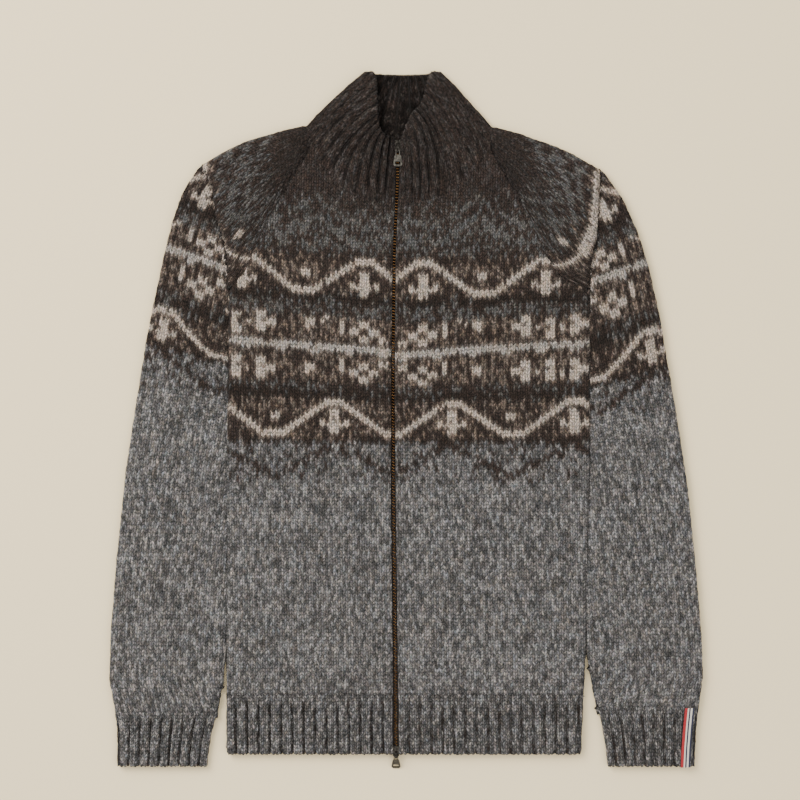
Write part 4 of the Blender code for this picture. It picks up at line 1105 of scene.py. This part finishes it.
def teeth_tree(tooth, finish):
    """Group with inputs Pitch, Side shift and Start: teeth along a path of edges, made real."""
    tree = bpy.data.node_groups.new("teeth_along_a_zip", "GeometryNodeTree")
    tree.interface.new_socket("Path", in_out="INPUT", socket_type="NodeSocketGeometry")
    sockets = {}
    for title in ("Pitch", "Side shift", "Start"):
        socket = tree.interface.new_socket(title, in_out="INPUT", socket_type="NodeSocketFloat")
        sockets[title] = socket.identifier
    tree.interface.new_socket("Teeth", in_out="OUTPUT", socket_type="NodeSocketGeometry")
    start = tree.nodes.new("NodeGroupInput").outputs
    rows = []
    for side in (1, -1):
        curve = node(tree, "GeometryNodeMeshToCurve", {0: start["Path"]}).outputs[0]
        if side < 0:
            trim = node(tree, "GeometryNodeTrimCurve", {"Curve": curve}, mode="LENGTH")
            tree.links.new(start["Start"], trim.inputs[4])
            trim.inputs[5].default_value = 10.0
            curve = trim.outputs[0]
        even = node(tree, "GeometryNodeResampleCurve", {"Curve": curve})
        if "Mode" in even.inputs:
            even.inputs["Mode"].default_value = "Length"
        else:
            even.mode = "LENGTH"
        tree.links.new(start["Pitch"], even.inputs["Length"])
        tangent = node(tree, "GeometryNodeInputTangent").outputs[0]
        turn = node(tree, "FunctionNodeAlignRotationToVector", {"Vector": tangent}, axis="Y").outputs[0]
        shift = maths(tree, "MULTIPLY", start["Side shift"], float(side))
        across = node(tree, "ShaderNodeCombineXYZ", {0: shift}).outputs[0]
        moved = node(tree, "GeometryNodeSetPosition",
                     {"Geometry": even.outputs[0], "Offset": across}).outputs[0]
        rows.append(node(tree, "GeometryNodeInstanceOnPoints", {
            "Points": moved, "Instance": node(tree, "GeometryNodeObjectInfo", {0: tooth}).outputs["Geometry"],
            "Rotation": turn}).outputs[0])
    both = node(tree, "GeometryNodeJoinGeometry")
    for row in rows:
        tree.links.new(row, both.inputs[0])
    real = node(tree, "GeometryNodeRealizeInstances", {0: both.outputs[0]}).outputs[0]
    done = node(tree, "GeometryNodeSetMaterial", {"Geometry": real, "Material": finish}).outputs[0]
    tree.links.new(done, tree.nodes.new("NodeGroupOutput").inputs[0])
    return tree, sockets


def grow_teeth(name):
    ys = np.linspace(*TEETH_SPAN, 60)
    path = bpy.data.meshes.new("zip_path")
    path.from_pydata([(float(x_at(ZIP_LINE, y)) * MM, y * MM, TEETH_Z * MM) for y in ys],
                     [(k, k + 1) for k in range(len(ys) - 1)], [])
    line = bpy.data.objects.new("zip_path", path)
    bpy.context.scene.collection.objects.link(line)
    tree, sockets = teeth_tree(new_tooth(TOOTH_SIZE), BRASS)
    modifier = line.modifiers.new("teeth", "NODES")
    modifier.node_group = tree
    for title, value in (("Pitch", TOOTH_PITCH), ("Side shift", TOOTH_SHIFT), ("Start", TOOTH_PITCH / 2)):
        modifier[sockets[title]] = value * MM
    bpy.context.view_layer.update()
    grown = bpy.data.meshes.new_from_object(line.evaluated_get(bpy.context.evaluated_depsgraph_get()))
    line.modifiers.clear()
    bpy.data.objects.remove(line)
    grown.name = name
    made = bpy.data.objects.new(name, grown)
    bpy.context.scene.collection.objects.link(made)
    return made


teeth = grow_teeth("zip_teeth")
print("teeth:", len(teeth.data.polygons), "faces")

# %% [markdown]
# ## The woven tab
# A short ribbon with coloured stripes is sewn to the outer edge of one cuff. It is woven, so each
# stripe is a group of coloured warp threads with the weft crossing them. The stripes here are a plain
# layout of red, cream and navy.

# %% The woven tab
TAB_OUTER_EDGE = [(325.5, -325), (323.3, -347), (321.5, -370), (320.5, -392)]
TAB_WIDTH, TAB_LOW, TAB_THICK = 10.5, 12.3, 0.7
TAB_STRIPES = ((0.0, (168, 34, 40)), (0.30, (222, 214, 200)), (0.46, (34, 38, 62)), (0.62, (222, 214, 200)),
               (0.82, (34, 38, 62)))  # share of the width where a stripe starts, and its colour


def tab_material(name):
    made, tree, shader = new_material(name, 0.8, Sheen_Weight=0.15)
    place = node(tree, "ShaderNodeUVMap", uv_map="stitches").outputs[0]
    split = node(tree, "ShaderNodeSeparateXYZ", {0: place})
    stripes = node(tree, "ShaderNodeValToRGB", {0: split.outputs[0]})
    bands = stripes.color_ramp
    bands.interpolation = "CONSTANT"
    while len(bands.elements) < len(TAB_STRIPES):
        bands.elements.new(0.5)
    for band, (start, colour) in zip(bands.elements, TAB_STRIPES):
        band.position, band.color = start, (*linear(colour), 1)
    weft = maths(tree, "SINE", maths(tree, "MULTIPLY", split.outputs[1], 2 * math.pi * 90))
    warp = maths(tree, "SINE", maths(tree, "MULTIPLY", split.outputs[0], 2 * math.pi * 22))
    cloth = maths(tree, "MULTIPLY", weft, warp)
    # painted light and shade: the raised crossings of the weave lighter, the hollows between them darker
    tone = node(tree, "ShaderNodeMapRange", {"Value": cloth, "From Min": -1.0, "To Min": 0.78,
                                             "To Max": 1.1}).outputs[0]
    shade = node(tree, "ShaderNodeVectorMath", {0: stripes.outputs[0], "Scale": tone}, operation="SCALE")
    tree.links.new(shade.outputs[0], shader.inputs["Base Color"])
    bump = node(tree, "ShaderNodeBump", {"Height": cloth, "Strength": 0.5, "Distance": 0.0003})
    tree.links.new(bump.outputs[0], shader.inputs["Normal"])
    return made


def tab_side(inset, drop):
    return lambda y: (float(x_at(TAB_OUTER_EDGE, y)) - inset, -drop)


tab = strip("cuff_tab_woven", [tab_side(TAB_WIDTH, 0), tab_side(0, 0.6)], (-392.0, -325.0), TAB_LOW,
            TAB_THICK, tab_material("striped_ribbon"), steps=24)
print("tab:", TAB_WIDTH, "mm wide")

# %% [markdown]
# ## Camera, floor and light
# The photograph looks straight down, so the camera hangs above the garment with a long lens. The
# floor is plain and pale. One large soft light stands high on the viewer's left, towards the collar,
# and a weaker one fills the shadows.

# %% Camera, floor and light
CAMERA_HEIGHT, LOOK_AT, SENSOR = 3.0, (-0.00706, 0.02305), 36
SEEN_WIDTH, CLOTH_HEIGHT = 0.904, 0.011  # metres across the picture, measured at the cloth's upper face
camera_data = bpy.data.cameras.new("camera")
camera_data.lens = SENSOR * CAMERA_HEIGHT / SEEN_WIDTH
camera_data.sensor_width = SENSOR
camera = bpy.data.objects.new("camera", camera_data)
camera.location = (*LOOK_AT, CAMERA_HEIGHT + CLOTH_HEIGHT)
bpy.context.scene.collection.objects.link(camera)
bpy.context.scene.camera = camera


def area_light(name, location, size, power, colour):
    data = bpy.data.lights.new(name, "AREA")
    data.size = size
    data.energy = power
    data.color = colour
    lamp = bpy.data.objects.new(name, data)
    lamp.location = location
    bpy.context.scene.collection.objects.link(lamp)
    x, y, z = location
    lamp.rotation_euler = (math.atan2(math.hypot(x, y), z), 0, math.atan2(x, -y))  # faces the garment


area_light("key", (-1.7, 1.3, 2.2), 2.0, 112, (1.0, 0.97, 0.93))
area_light("fill", (1.2, -0.9, 2.8), 3.0, 36, (1.0, 0.985, 0.96))
world = bpy.data.worlds.new("studio")
world.use_nodes = True
background = world.node_tree.nodes["Background"]
background.inputs["Color"].default_value = (1.0, 0.985, 0.96, 1)
background.inputs["Strength"].default_value = 0.88
bpy.context.scene.world = world

floor_mesh = bpy.data.meshes.new("floor")
floor_mesh.from_pydata([(-4, -4, 0), (4, -4, 0), (4, 4, 0), (-4, 4, 0)], [], [(0, 1, 2, 3)])
floor = bpy.data.objects.new("floor", floor_mesh)
bpy.context.scene.collection.objects.link(floor)
floor_finish, tree, shader = new_material("pale_paper", 0.95)
shader.inputs["Base Color"].default_value = (1.0, 0.84, 0.53, 1)
floor_mesh.materials.append(floor_finish)

# %% [markdown]
# ## Put it together
# Each piece is told which body of the model it moves with and which CAD node it stands for. A piece
# of cloth is also told how large it was cut, and the area printed for it is held below the cut's.

# %% Put it together
LARGEST_SHARE, SMALLEST_SHARE = 0.999, 0.301  # of the cut's rectangle; the area printed is held below the first


def flat_area(piece):
    """Half the surface of a closed wall, in square metres: the cloth's own area."""
    areas = np.empty(len(piece.data.polygons))
    piece.data.polygons.foreach_get("area", areas)
    return areas.sum() / 2


def sew(name, *parts):
    """Joins the parts of one knitted tube into a single mesh."""
    with bpy.context.temp_override(active_object=parts[0], object=parts[0], selected_objects=list(parts),
                                   selected_editable_objects=list(parts)):
        bpy.ops.object.join()
    parts[0].name = name
    return parts[0]


sleeve_left = sew("sleeve_left_knit", arm_left, arm_under_left, cap_left, cap_under_left)
sleeve_right = sew("sleeve_right_knit", arm_right, arm_under_right, cap_right, cap_under_right)
cuff_left = sew("cuff_left_knit", cuffs[1, False], cuffs[1, True])
cuff_right = sew("cuff_right_knit", cuffs[-1, False], cuffs[-1, True])
CUTS = (  # piece, nodes it stands for, width and length of the cut in metres
    (back_knit, ("back",), (0.42, 0.63)),
    (front_left, ("front_left",), (0.225, 0.62)),
    (front_right, ("front_right",), (0.195, 0.62)),
    (hem_left, ("hem_left",), (0.215, 0.07)),
    (hem_right, ("hem_right",), (0.195, 0.07)),
    (hem_under, ("hem_back",), (0.41, 0.07)),
    (sleeve_left, ("sleeve_left",), (0.30, 0.66)),
    (sleeve_right, ("sleeve_right",), (0.30, 0.67)),
    (cuff_left, ("cuff_left",), (0.22, 0.07)),
    (cuff_right, ("cuff_right",), (0.22, 0.07)),
    (collar_knit, ("collar",), (0.46, 0.085)),
    (tapes[1], ("tape_left",), (0.0104, 0.693)),
    (tapes[-1], ("tape_right",), (0.0104, 0.693)),
    (tab, ("cuff_tab",), (0.0115, 0.067)),
)
for piece, nodes, cut in CUTS:
    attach(piece, "garment")
    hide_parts(*nodes)
    area = min(flat_area(piece), LARGEST_SHARE * cut[0] * cut[1])
    print(piece.name, "cut", cut, "area", round(area, 4))
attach(teeth, "garment")
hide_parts("zip_chain")
